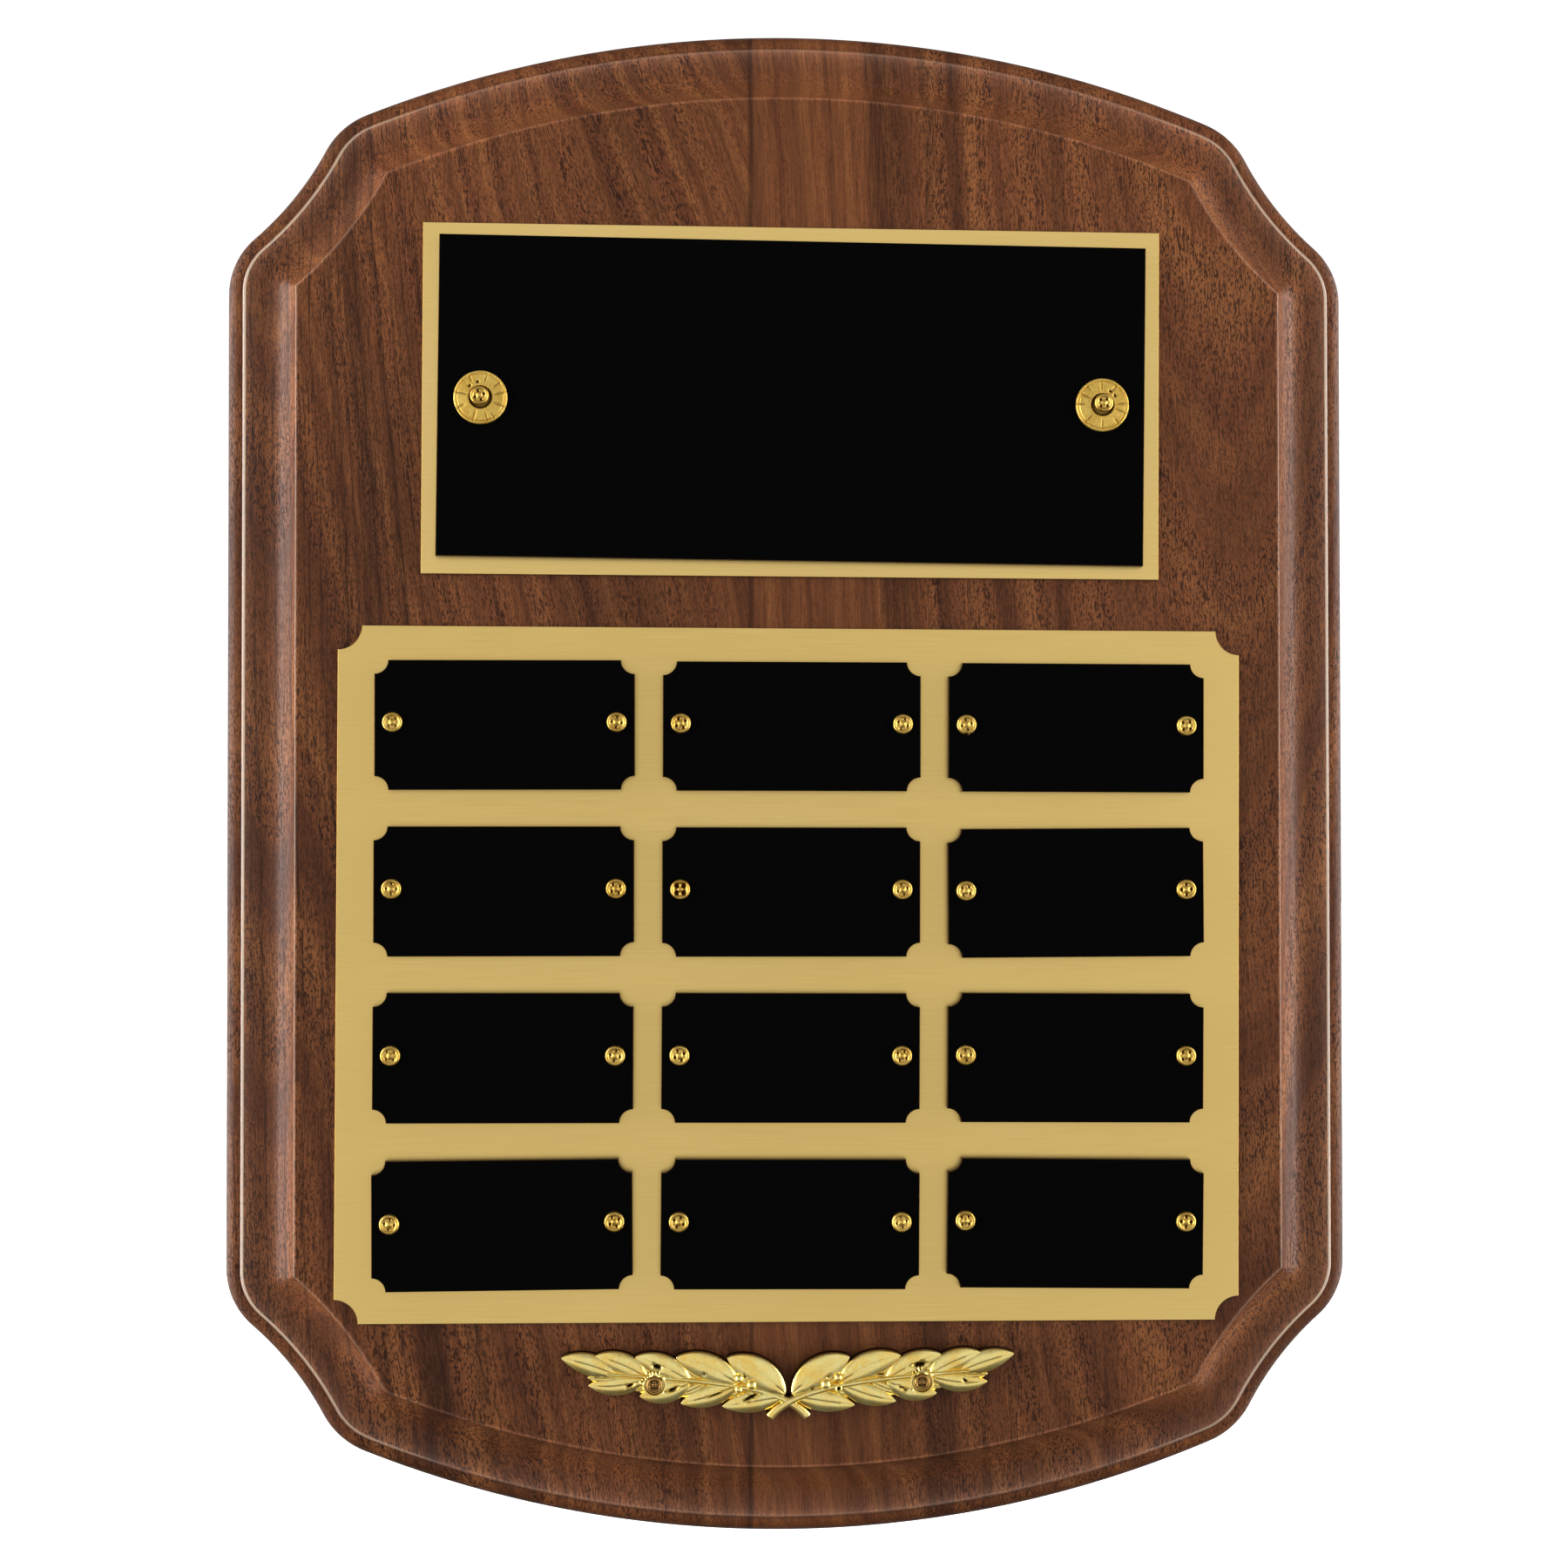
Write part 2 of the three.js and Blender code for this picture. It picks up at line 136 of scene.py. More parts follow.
# The room's light comes from bright silks at both sides, from the white sweep behind and
# from the white card round the camera, whose own body shades the middle; the ceiling and
# the table below are dim. To the camera itself the room is plain white.
world = bpy.data.worlds.new("studio_room")
scene.world = world
world.use_nodes = True
room = world.node_tree
room.nodes.clear()
direction = add_node(room, "ShaderNodeTexCoord").outputs["Generated"]
axes = add_node(room, "ShaderNodeSeparateXYZ", {0: direction})
sweep = add_node(room, "ShaderNodeMapRange", {
    "Value": axes.outputs["Y"], "From Min": -0.2, "From Max": 0.4, "To Min": 0.3, "To Max": 1.1,
}, interpolation_type="SMOOTHSTEP")
card = add_node(room, "ShaderNodeMapRange", {
    "Value": axes.outputs["Y"], "From Min": -0.9, "From Max": -0.6, "To Min": 0.83, "To Max": 0.0,
}, interpolation_type="SMOOTHSTEP")
camera_shade = add_node(room, "ShaderNodeMapRange", {
    "Value": axes.outputs["Y"], "From Min": -1.0, "From Max": -0.97, "To Min": 0.6, "To Max": 1.0,
}, interpolation_type="SMOOTHSTEP")
up_or_down = add_node(room, "ShaderNodeMath", {0: axes.outputs["Z"]}, operation="ABSOLUTE")
ceiling_and_table_shade = add_node(room, "ShaderNodeMapRange", {
    "Value": up_or_down, "From Min": 0.35, "From Max": 0.85, "To Min": 1.0, "To Max": 0.3,
}, interpolation_type="SMOOTHSTEP")
shaded_card = add_node(room, "ShaderNodeMath", {0: card, 1: camera_shade}, operation="MULTIPLY")
silk_place = add_node(room, "ShaderNodeMath", {0: axes.outputs["X"]}, operation="ABSOLUTE")
silk = add_node(room, "ShaderNodeMapRange", {
    "Value": silk_place, "From Min": 0.74, "From Max": 0.93, "To Min": 0.0, "To Max": 1.0,
}, interpolation_type="SMOOTHSTEP")
silk_strength = add_node(room, "ShaderNodeMapRange", {
    "Value": axes.outputs["X"], "From Min": -0.5, "From Max": 0.5, "To Min": 6.0, "To Max": 4.4})
room_light = add_node(room, "ShaderNodeMath", {0: sweep, 1: shaded_card}, operation="MAXIMUM")
room_light = add_node(room, "ShaderNodeMath", {
    0: silk, 1: silk_strength, 2: room_light}, operation="MULTIPLY_ADD")
room_light = add_node(room, "ShaderNodeMath", {
    0: room_light, 1: ceiling_and_table_shade}, operation="MULTIPLY")
seen = add_node(room, "ShaderNodeLightPath").outputs["Is Camera Ray"]
strength = add_node(room, "ShaderNodeMath", {0: room_light, 1: seen}, operation="MAXIMUM")
sky = add_node(room, "ShaderNodeBackground", {
    "Color": linear("ffffff"), "Strength": strength})
add_node(room, "ShaderNodeOutputWorld", {"Surface": sky})


def strip_light(name, place, width, height, watts):
    """A rectangular lamp aimed at the plaque's middle."""
    lamp = bpy.data.lights.new(name, "AREA")
    lamp.shape = "RECTANGLE"
    lamp.size = width
    lamp.size_y = height
    lamp.energy = watts
    made = bpy.data.objects.new(name, lamp)
    turn = (-Vector(place)).to_track_quat("-Z", "Y")
    made.matrix_world = Matrix.Translation(place) @ turn.to_matrix().to_4x4()
    scene.collection.objects.link(made)


strip_light("strip_left", (-1.1, -0.35, 0.1), width=0.08, height=1.2, watts=8)
strip_light("strip_right", (1.1, -0.35, 0.1), width=0.08, height=1.2, watts=6.5)
strip_light("strip_top", (0, -0.7, 1.2), width=1.0, height=0.15, watts=0.8)

# The table is a plain matt white sheet lit evenly from below, well under the plaque.
table_half_width = 12
table_drop = 0.3
floor_mesh = bpy.data.meshes.new("table")
bm = bmesh.new()
bmesh.ops.create_grid(bm, x_segments=1, y_segments=1, size=table_half_width)
bmesh.ops.translate(bm, vec=(0, 0, cad_low.z - table_drop), verts=bm.verts)
bm.to_mesh(floor_mesh)
bm.free()
floor = bpy.data.objects.new("table", floor_mesh)
scene.collection.objects.link(floor)
floor.visible_diffuse = False
floor.visible_glossy = False
table_white = bpy.data.materials.new("table_white")
table_white.use_nodes = True
tree = table_white.node_tree
plug_in(tree, tree.nodes["Principled BSDF"], {
    "Base Color": linear("f4f4f2"), "Roughness": 0.9,
    "Emission Color": linear("ffffff"), "Emission Strength": 0.85,
})
floor_mesh.materials.append(table_white)


# ------------------------------------------------------------------ walnut board
# Two walnut staves glued edge to edge, sawn to the crowned and scalloped outline, with a
# moulding routed round it (rounded lower tier, lip, cove up to a sharp arris) and a
# keyhole slot in the back for the wall screw. Finished in satin lacquer.

MM = 0.001
board_low, board_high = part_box("board")
board_width = (board_high.x - board_low.x) / MM
board_height = (board_high.z - board_low.z) / MM
board_thickness = (board_high.y - board_low.y) / MM

crown_radius = 266
crown_half_angle = math.radians(22.2)
shoulder_radius = 19.4
scallop_radius = 75
side_corner_radius = 17.9
side_half_length = 115

back_round = 0.6
lower_tier_height = 8.2
lower_tier_round = 3.3
fillet_offset = 4.0
lip_round = 0.7
lip_height = 13.3
cove_start = 8.8
arris_offset = 17.5
arris_round = 0.3
field_margin = 0.5


def outline_path():
    """The outline as turns: (radius, turn in radians, steps), from mid height on the right side.

    A positive turn bulges out, a negative one is hollow, and a radius of 0 is a straight
    run whose length stands in the turn's place."""
    crown = Vector((0, board_height / 2 - crown_radius))
    shoulder = crown + (crown_radius - shoulder_radius) * Vector(
        (math.sin(crown_half_angle), math.cos(crown_half_angle)))
    side = Vector((board_width / 2 - side_corner_radius, side_half_length))
    reach_side = side_corner_radius + scallop_radius
    reach_shoulder = shoulder_radius + scallop_radius
    span = shoulder - side
    along = (reach_side ** 2 - reach_shoulder ** 2 + span.length_squared) / (2 * span.length)
    out = math.sqrt(reach_side ** 2 - along ** 2)
    unit = span.normalized()
    scallop = side + unit * along + Vector((unit.y, -unit.x)) * out
    side_turn = math.atan2(scallop.y - side.y, scallop.x - side.x)
    shoulder_start = math.atan2(scallop.y - shoulder.y, scallop.x - shoulder.x)
    shoulder_turn = math.pi / 2 - crown_half_angle - shoulder_start
    corner = [
        (side_corner_radius, side_turn, 12),
        (scallop_radius, shoulder_start - side_turn, 26),
        (shoulder_radius, shoulder_turn, 14),
    ]
    half = [*corner, (crown_radius, 2 * crown_half_angle, 64), *reversed(corner)]
    return [*half, (0, 2 * side_half_length, 1)]


def add_in(mesh, part):
    """Joins one bmesh to another and gives the edges that it brought."""
    already = len(mesh.edges)
    carrier = bpy.data.meshes.new("carrier")
    part.to_mesh(carrier)
    part.free()
    mesh.from_mesh(carrier)
    bpy.data.meshes.remove(carrier)
    mesh.edges.ensure_lookup_table()
    return mesh.edges[already:]


def outline_loop(mesh, offset, height):
    """A closed loop of edges that follows the outline, moved in by an offset, at a height."""
    line = bmesh.new()
    start = line.verts.new(((board_width / 2 - offset) * MM, -height * MM, side_half_length * MM))
    last = start
    heading = math.pi / 2
    for lap in range(2):
        for radius, turn, steps in outline_path():
            closing = lap == 1 and radius == 0
            if radius == 0 and not closing:
                last = bmesh.ops.extrude_vert_indiv(line, verts=[last])["verts"][0]
                bmesh.ops.translate(
                    line, verts=[last],
                    vec=(math.cos(heading) * turn * MM, 0, math.sin(heading) * turn * MM))
            elif closing:
                line.edges.new((last, start))
            else:
                reach = radius - offset if turn > 0 else -(radius + offset)
                inward = Vector((-math.sin(heading), 0, math.cos(heading)))
                last = bmesh.ops.spin(
                    line, geom=[last], cent=last.co + inward * reach * MM, axis=(0, -1, 0),
                    angle=turn, steps=steps)["geom_last"][0]
                heading += turn
    return add_in(mesh, line)


def quarter_round(offset, height, radius, start, end, steps):
    """Points of an arc of the moulding about (offset, height), angles in degrees."""
    return [(offset + radius * math.cos(math.radians(a)), height + radius * math.sin(math.radians(a)))
            for a in (start + (end - start) * i / steps for i in range(steps + 1))]


cove_run = arris_offset - cove_start
cove_rise = board_thickness - lip_height
cove_radius = (cove_run ** 2 + cove_rise ** 2) / (2 * cove_rise)
cove_slope = math.acos(1 - cove_rise / (cove_radius + arris_round))
arris_centre = cove_start + (cove_radius + arris_round) * math.sin(cove_slope)
cove_degrees = math.degrees(cove_slope)


def paint_edge_shading(points, first_tone, last_tone, gloss):
    """Adds to each point of the moulding its painted shading (under 0 painted shade, over 0 painted
    highlight) and its gloss.
    """
    count = max(len(points) - 1, 1)
    return [(offset, height, first_tone + (last_tone - first_tone) * i / count, gloss)
            for i, (offset, height) in enumerate(points)]


# Painted shade darkens the fillet and the lower tier's outer side; painted highlights pale
# the lip, the arris and the cove near it, and on the lip and the arris the lacquer is left bright.
moulding = [
    *paint_edge_shading(quarter_round(back_round, back_round, back_round, 270, 180, 6), -0.2, -0.4, 0.0),
    *paint_edge_shading(quarter_round(lower_tier_round, lower_tier_height, lower_tier_round, 180, 90, 10),
              -0.65, 0.3, 0.0),
    *paint_edge_shading([(fillet_offset, lower_tier_height + lower_tier_round + 0.03)], -0.5, -0.5, 0.0),
    *paint_edge_shading(quarter_round(
        fillet_offset + lip_round, lip_height - lip_round - 0.04, lip_round, 180, 90, 7), -0.6, 2.2, 1.0),
    *paint_edge_shading([(fillet_offset + lip_round + 0.3, lip_height - 0.03)], 0.6, 0.6, 0.8),
    *paint_edge_shading([(fillet_offset + lip_round + 1.6, lip_height - 0.02)], 0.2, 0.2, 0.3),
    *paint_edge_shading(quarter_round(
        cove_start, lip_height + cove_radius, cove_radius, 270, 270 + cove_degrees, 20), 0.04, 0.4, 0.1),
    *paint_edge_shading(quarter_round(
        arris_centre, board_thickness - arris_round, arris_round, 90 + cove_degrees, 90, 7)[1:],
        1.2, 1.0, 0.5),
]

keyhole_low = frame["record"]["physics"]["openings"][1]["box_m"][0]
keyhole_start = keyhole_low[2] / MM
entry_radius = 5
neck_half = 2.6
neck_travel = 12
undercut_radius = 5.2
undercut_neck = undercut_radius - 1e-3
back_lip = 4.4
keyhole_depth = 10


def slot_loop(mesh, low_radius, high_radius, depth):
    """A keyhole's outline: a round end below and a round-ended neck above, at a depth."""
    meet = math.acos(high_radius / low_radius) if high_radius < low_radius else 0
    sweep = math.pi + 2 * meet
    already = len(mesh.edges)
    start = mesh.verts.new((
        low_radius * math.cos(meet) * MM, -depth * MM,
        (keyhole_start + low_radius * math.sin(meet)) * MM))
    low_end = bmesh.ops.spin(
        mesh, geom=[start], cent=(0, -depth * MM, keyhole_start * MM), axis=(0, 1, 0),
        angle=sweep, steps=28)["geom_last"][0]
    top = keyhole_start + neck_travel
    left = mesh.verts.new((-high_radius * MM, -depth * MM, top * MM))
    mesh.edges.new((low_end, left))
    right = bmesh.ops.spin(
        mesh, geom=[left], cent=(0, -depth * MM, top * MM), axis=(0, 1, 0),
        angle=math.pi, steps=16)["geom_last"][0]
    mesh.edges.new((right, start))
    mesh.edges.ensure_lookup_table()
    return mesh.edges[already:]


bm = bmesh.new()
painted_edge_shading = bm.verts.layers.float.new("painted_edge_shading")
edge_gloss = bm.verts.layers.float.new("edge_gloss")
loops = []
# Each loop carries its point's painted shade or painted highlight, and its gloss.
for offset, height, tone, gloss in moulding:
    loops.append(outline_loop(bm, offset, height))
    for vert in {vert for edge in loops[-1] for vert in edge.verts}:
        vert[painted_edge_shading] = tone
        vert[edge_gloss] = gloss
for lower, upper in zip(loops, loops[1:]):
    bmesh.ops.bridge_loops(bm, edges=lower + upper)
mouth = slot_loop(bm, entry_radius, neck_half, 0)
bmesh.ops.triangle_fill(bm, edges=loops[0] + mouth, normal=(0, 1, 0))
throat = slot_loop(bm, entry_radius, neck_half, back_lip)
bmesh.ops.bridge_loops(bm, edges=mouth + throat)
shelf = slot_loop(bm, undercut_radius, undercut_neck, back_lip)
bmesh.ops.triangle_fill(bm, edges=throat + shelf, normal=(0, 1, 0))
bed = slot_loop(bm, undercut_radius, undercut_neck, keyhole_depth)
bmesh.ops.bridge_loops(bm, edges=shelf + bed)
bmesh.ops.contextual_create(bm, geom=bed)
field = bmesh.ops.contextual_create(bm, geom=loops[-1])["faces"][0]
bmesh.ops.inset_individual(bm, faces=[field], thickness=field_margin * MM, use_even_offset=True)
for vert in field.verts:
    vert[painted_edge_shading] = 0
    vert[edge_gloss] = 0
field_rim = list(field.edges)
bmesh.ops.delete(bm, geom=[field], context="FACES_ONLY")
bmesh.ops.triangle_fill(bm, edges=field_rim, use_beauty=True, normal=(0, -1, 0))
bmesh.ops.recalc_face_normals(bm, faces=bm.faces)


def piece(name, mesh, materials, replaced, smooth_under=16):
    """Makes a bmesh an object that rides on the plaque and stands for its CAD nodes."""
    data = bpy.data.meshes.new(name)
    mesh.to_mesh(data)
    mesh.free()
    for polygon in data.polygons:
        polygon.use_smooth = True
    data.set_sharp_from_angle(angle=math.radians(smooth_under))
    for material in materials:
        data.materials.append(material)
    made = bpy.data.objects.new(name, data)
    scene.collection.objects.link(made)
    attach(made, root)
    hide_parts(*replaced)
    return made


# American walnut under satin lacquer: chocolate rings with a darker late-wood line, straight
# grain in the middle and arched figure in the outer flats, and short open pores. The lacquer
# is thin, so the wood looks dull and warm, and only the moulding's edges shine.
walnut = bpy.data.materials.new("satin_walnut")
walnut.use_nodes = True
tree = walnut.node_tree
place = add_node(tree, "ShaderNodeTexCoord").outputs["Object"]


def along_fibres(spot, width, length, detail=2.0, roughness=0.5):
    """A cloudy pattern drawn out upwards with the wood: its patches' width and length in metres."""
    drawn_out = add_node(tree, "ShaderNodeMapping", {
        "Vector": spot, "Scale": (1 / width, 1 / width, 1 / length)})
    return add_node(tree, "ShaderNodeTexNoise", {
        "Vector": drawn_out, "Scale": 1.0, "Detail": detail, "Roughness": roughness})


# The fibres wander slowly over a hand's width and ripple over a few millimetres, each as
# (patch width, patch length, roughness, how far the fibres stray), in metres.
fibre_place = place
for width, length, roughness, stray in ((0.05, 0.11, 0.45, 0.009), (0.009, 0.022, 0.5, 0.0016)):
    wander = add_node(tree, "ShaderNodeVectorMath", {
        0: along_fibres(place, width, length, roughness=roughness).outputs["Color"],
        1: (0.5, 0.5, 0.5)}, operation="SUBTRACT")
    wander = add_node(tree, "ShaderNodeVectorMath", {0: wander, "Scale": stray}, operation="SCALE")
    fibre_place = add_node(tree, "ShaderNodeVectorMath", {
        0: fibre_place, 1: wander}, operation="ADD")
flat = add_node(tree, "ShaderNodeSeparateXYZ", {0: place})
glue_line = -0.0095
on_right = add_node(tree, "ShaderNodeMath", {
    0: flat.outputs["X"], 1: glue_line}, operation="GREATER_THAN")

# The left stave's fibres lean to the left as they rise, more so near the top and hardly
# at all by its outer edge; the right stave's lean a little the same way.
left_lean = 0.13
right_lean = 0.044
top_bend = 0.55
above_middle = add_node(tree, "ShaderNodeMath", {0: flat.outputs["Z"], 1: 0.0}, operation="MAXIMUM")
bend = add_node(tree, "ShaderNodeMath", {0: above_middle, 1: above_middle}, operation="MULTIPLY")
bend = add_node(tree, "ShaderNodeMath", {0: bend, 1: top_bend}, operation="MULTIPLY")
left_shift = add_node(tree, "ShaderNodeMath", {
    0: flat.outputs["Z"], 1: left_lean, 2: bend}, operation="MULTIPLY_ADD")
from_edge = add_node(tree, "ShaderNodeMapRange", {
    "Value": flat.outputs["X"], "From Min": -0.118, "From Max": -0.06, "To Min": 0.1, "To Max": 1.0,
})
left_shift = add_node(tree, "ShaderNodeMath", {0: left_shift, 1: from_edge}, operation="MULTIPLY")
right_shift = add_node(tree, "ShaderNodeMath", {
    0: flat.outputs["Z"], 1: right_lean}, operation="MULTIPLY")
fibre_shift = add_node(tree, "ShaderNodeMix", {
    "Factor": on_right, 2: left_shift, 3: right_shift}, data_type="FLOAT")
fibre_place = add_node(tree, "ShaderNodeVectorMath", {
    0: fibre_place, 1: add_node(tree, "ShaderNodeCombineXYZ", {0: fibre_shift})}, operation="ADD")
grain = add_node(tree, "ShaderNodeSeparateXYZ", {0: fibre_place})


def heart_distance(heart_x, heart_depth, lean):
    """How far a point is from the heart of the tree that its stave was sawn from."""
    across = add_node(tree, "ShaderNodeMath", {
        0: grain.outputs["X"], 1: heart_x}, operation="SUBTRACT")
    deep = add_node(tree, "ShaderNodeMath", {
        0: grain.outputs["Z"], 1: lean, 2: heart_depth + board_thickness * MM},
        operation="MULTIPLY_ADD")
    deep = add_node(tree, "ShaderNodeMath", {0: deep, 1: grain.outputs["Y"]}, operation="ADD")
    across_2 = add_node(tree, "ShaderNodeMath", {0: across, 1: across}, operation="MULTIPLY")
    total = add_node(tree, "ShaderNodeMath", {
        0: deep, 1: deep, 2: across_2}, operation="MULTIPLY_ADD")
    return add_node(tree, "ShaderNodeMath", {0: total}, operation="SQRT")


# Both hearts lie behind the board, out at its sides, and lean towards or away from its face.
left_rings = heart_distance(-0.150, 0.060, 0.14)
right_rings = heart_distance(0.104, 0.052, -0.13)
radius_out = add_node(tree, "ShaderNodeMix", {
    "Factor": on_right, 2: left_rings, 3: right_rings}, data_type="FLOAT")

# Late wood: each year's growth darkens slowly and ends in a thin dark line.
ring_width = 0.0088
years = add_node(tree, "ShaderNodeMath", {0: radius_out, 1: ring_width}, operation="DIVIDE")
season = add_node(tree, "ShaderNodeMath", {0: years}, operation="FRACT")
late = add_node(tree, "ShaderNodeMapRange", {
    "Value": season, "From Min": 0.35, "From Max": 0.93, "To Min": 0.0, "To Max": 1.0,
}, interpolation_type="SMOOTHSTEP")
spring = add_node(tree, "ShaderNodeMapRange", {
    "Value": season, "From Min": 0.93, "From Max": 1.0, "To Min": 1.0, "To Max": 0.0,
}, interpolation_type="SMOOTHSTEP")
late_line = add_node(tree, "ShaderNodeMath", {0: late, 1: spring}, operation="MULTIPLY")
year_strength = add_node(tree, "ShaderNodeTexNoise", {
    "W": add_node(tree, "ShaderNodeMath", {0: radius_out, 1: 95.0}, operation="MULTIPLY"),
    "Scale": 1.0, "Detail": 1.0,
}, noise_dimensions="1D")
year_strength = add_node(tree, "ShaderNodeMapRange", {
    "Value": year_strength, "From Min": 0.35, "From Max": 0.7, "To Min": 0.08, "To Max": 0.5,
})
year_dark = add_node(tree, "ShaderNodeMath", {0: late_line, 1: year_strength}, operation="MULTIPLY")

# Streaks of mineral colour follow the rings over several years.
streak = add_node(tree, "ShaderNodeTexNoise", {
    "W": add_node(tree, "ShaderNodeMath", {0: radius_out, 1: 210.0}, operation="MULTIPLY"),
    "Scale": 1.0, "Detail": 3.0, "Roughness": 0.6,
}, noise_dimensions="1D")
heartwood = add_node(tree, "ShaderNodeValToRGB", {"Fac": streak}, stops=(
    (0.2, "56311d"), (0.36, "653a22"), (0.5, "704226"), (0.64, "794a2a"), (0.8, "82502e")))

# Broad cloudiness, a hand's width across, as the log's colour changes along its length.
cloud = add_node(tree, "ShaderNodeMapRange", {
    "Value": along_fibres(fibre_place, width=0.03, length=0.13),
    "From Min": 0.3, "From Max": 0.7, "To Min": 0.84, "To Max": 1.14,
})
paler_top = add_node(tree, "ShaderNodeMapRange", {
    "Value": flat.outputs["Z"], "From Min": 0.045, "From Max": 0.13, "To Min": 0.96, "To Max": 1.24,
}, interpolation_type="SMOOTHSTEP")
darker_left = add_node(tree, "ShaderNodeMapRange", {
    "Value": flat.outputs["X"], "From Min": -0.112, "From Max": -0.055, "To Min": 0.9, "To Max": 1.0,
}, interpolation_type="SMOOTHSTEP")
sideways = add_node(tree, "ShaderNodeMath", {0: flat.outputs["X"]}, operation="ABSOLUTE")
paler_flats = add_node(tree, "ShaderNodeMapRange", {
    "Value": sideways, "From Min": 0.03, "From Max": 0.08, "To Min": 0.95, "To Max": 1.09,
}, interpolation_type="SMOOTHSTEP")

# Fibres: fine threads of lighter and darker wood, 0.3 mm apart and 12 mm long.
threads = add_node(tree, "ShaderNodeMapRange", {
    "Value": along_fibres(fibre_place, width=0.0003, length=0.012, roughness=0.6),
    "From Min": 0.3, "From Max": 0.7, "To Min": 0.74, "To Max": 1.26,
})
tinted = heartwood
for tone in (cloud, paler_top, darker_left, paler_flats, threads):
    tinted = add_node(tree, "ShaderNodeMix", {
        "Factor": 1.0, 6: tinted, 7: tone}, data_type="RGBA", blend_type="MULTIPLY")
ringed = add_node(tree, "ShaderNodeMix", {
    "Factor": year_dark, 6: tinted, 7: linear("3f2518")}, data_type="RGBA")

# Hairlines: thin dark lines 1.3 mm apart, strongest by the left stave's edge.
hairline_gap = 0.0013
hairlines = add_node(tree, "ShaderNodeTexNoise", {
    "W": add_node(tree, "ShaderNodeMath", {
        0: grain.outputs["X"], 1: 1 / hairline_gap}, operation="MULTIPLY"),
    "Scale": 1.0, "Detail": 1.0,
}, noise_dimensions="1D")
hairlines = add_node(tree, "ShaderNodeMapRange", {
    "Value": hairlines, "From Min": 0.5, "From Max": 0.68, "To Min": 0.0, "To Max": 1.0,
}, interpolation_type="SMOOTHSTEP")
hairline_share = add_node(tree, "ShaderNodeMapRange", {
    "Value": flat.outputs["X"], "From Min": -0.088, "From Max": -0.07, "To Min": 0.75, "To Max": 0.22,
})
hairlines = add_node(tree, "ShaderNodeMath", {0: hairlines, 1: hairline_share}, operation="MULTIPLY")
breaks = add_node(tree, "ShaderNodeMapRange", {
    "Value": threads, "From Min": 0.85, "From Max": 1.15, "To Min": 1.0, "To Max": 0.2})
broken_hairlines = add_node(tree, "ShaderNodeMath", {0: hairlines, 1: breaks}, operation="MULTIPLY")
ringed = add_node(tree, "ShaderNodeMix", {
    "Factor": broken_hairlines, 6: ringed, 7: linear("341c11")}, data_type="RGBA")

# Mineral streaks: dark bands a few millimetres wide that run with the fibres, as
# (place across the fibres, half width, strength), in metres.
mineral_streaks = (
    (0.0275, 0.0038, 0.62), (0.0385, 0.0012, 0.4), (0.0455, 0.001, 0.3), (-0.094, 0.0028, 0.6),
    (-0.087, 0.0012, 0.45), (-0.101, 0.0014, 0.35), (0.0145, 0.0006, 0.3), (-0.03, 0.0012, 0.3),
    (-0.043, 0.0014, 0.35), (0.068, 0.0016, 0.3),
)
streaks = 0.0
for streak_place, half_width, streak_strength in mineral_streaks:
    off_streak = add_node(tree, "ShaderNodeMath", {
        0: grain.outputs["X"], 1: streak_place}, operation="SUBTRACT")
    off_streak = add_node(tree, "ShaderNodeMath", {0: off_streak}, operation="ABSOLUTE")
    band = add_node(tree, "ShaderNodeMapRange", {
        "Value": off_streak, "From Min": half_width * 0.6, "From Max": half_width * 1.25,
        "To Min": streak_strength, "To Max": 0.0}, interpolation_type="SMOOTHSTEP")
    streaks = add_node(tree, "ShaderNodeMath", {0: band, 1: streaks}, operation="MAXIMUM")
breaks = add_node(tree, "ShaderNodeMapRange", {
    "Value": threads, "From Min": 0.85, "From Max": 1.2, "To Min": 1.0, "To Max": 0.55})
broken_streaks = add_node(tree, "ShaderNodeMath", {0: streaks, 1: breaks}, operation="MULTIPLY")
ringed = add_node(tree, "ShaderNodeMix", {
    "Factor": broken_streaks, 6: ringed, 7: linear("2c170e")}, data_type="RGBA")

# Pores: open vessels cut lengthwise. Most are fine ticks, 0.15 mm wide and drawn at 0.3 mm
# so that they show; a few are coarser and longer. The quartersawn middle has the fewest.
fine_pores = add_node(tree, "ShaderNodeMapRange", {
    "Value": along_fibres(fibre_place, width=0.0003, length=0.001, detail=1.0),
    "From Min": 0.52, "From Max": 0.6, "To Min": 0.0, "To Max": 0.9,
}, interpolation_type="SMOOTHSTEP")
coarse_pores = add_node(tree, "ShaderNodeMapRange", {
    "Value": along_fibres(fibre_place, width=0.0004, length=0.0028, detail=1.0),
    "From Min": 0.58, "From Max": 0.66, "To Min": 0.0, "To Max": 1.0,
}, interpolation_type="SMOOTHSTEP")
quartersawn_middle = 0.004
off_middle = add_node(tree, "ShaderNodeMath", {
    0: flat.outputs["X"], 1: quartersawn_middle}, operation="SUBTRACT")
off_middle = add_node(tree, "ShaderNodeMath", {0: off_middle}, operation="ABSOLUTE")
pore_share = add_node(tree, "ShaderNodeMapRange", {
    "Value": off_middle, "From Min": 0.012, "From Max": 0.03, "To Min": 0.35, "To Max": 1.0,
})
open_years = add_node(tree, "ShaderNodeMapRange", {
    "Value": season, "From Min": 0.1, "From Max": 0.8, "To Min": 1.1, "To Max": 0.65,
})
pore_share = add_node(tree, "ShaderNodeMath", {0: pore_share, 1: open_years}, operation="MULTIPLY")
pores = add_node(tree, "ShaderNodeMath", {0: fine_pores, 1: coarse_pores}, operation="MAXIMUM")
pores = add_node(tree, "ShaderNodeMath", {
    0: pores, 1: pore_share}, operation="MULTIPLY", use_clamp=True)
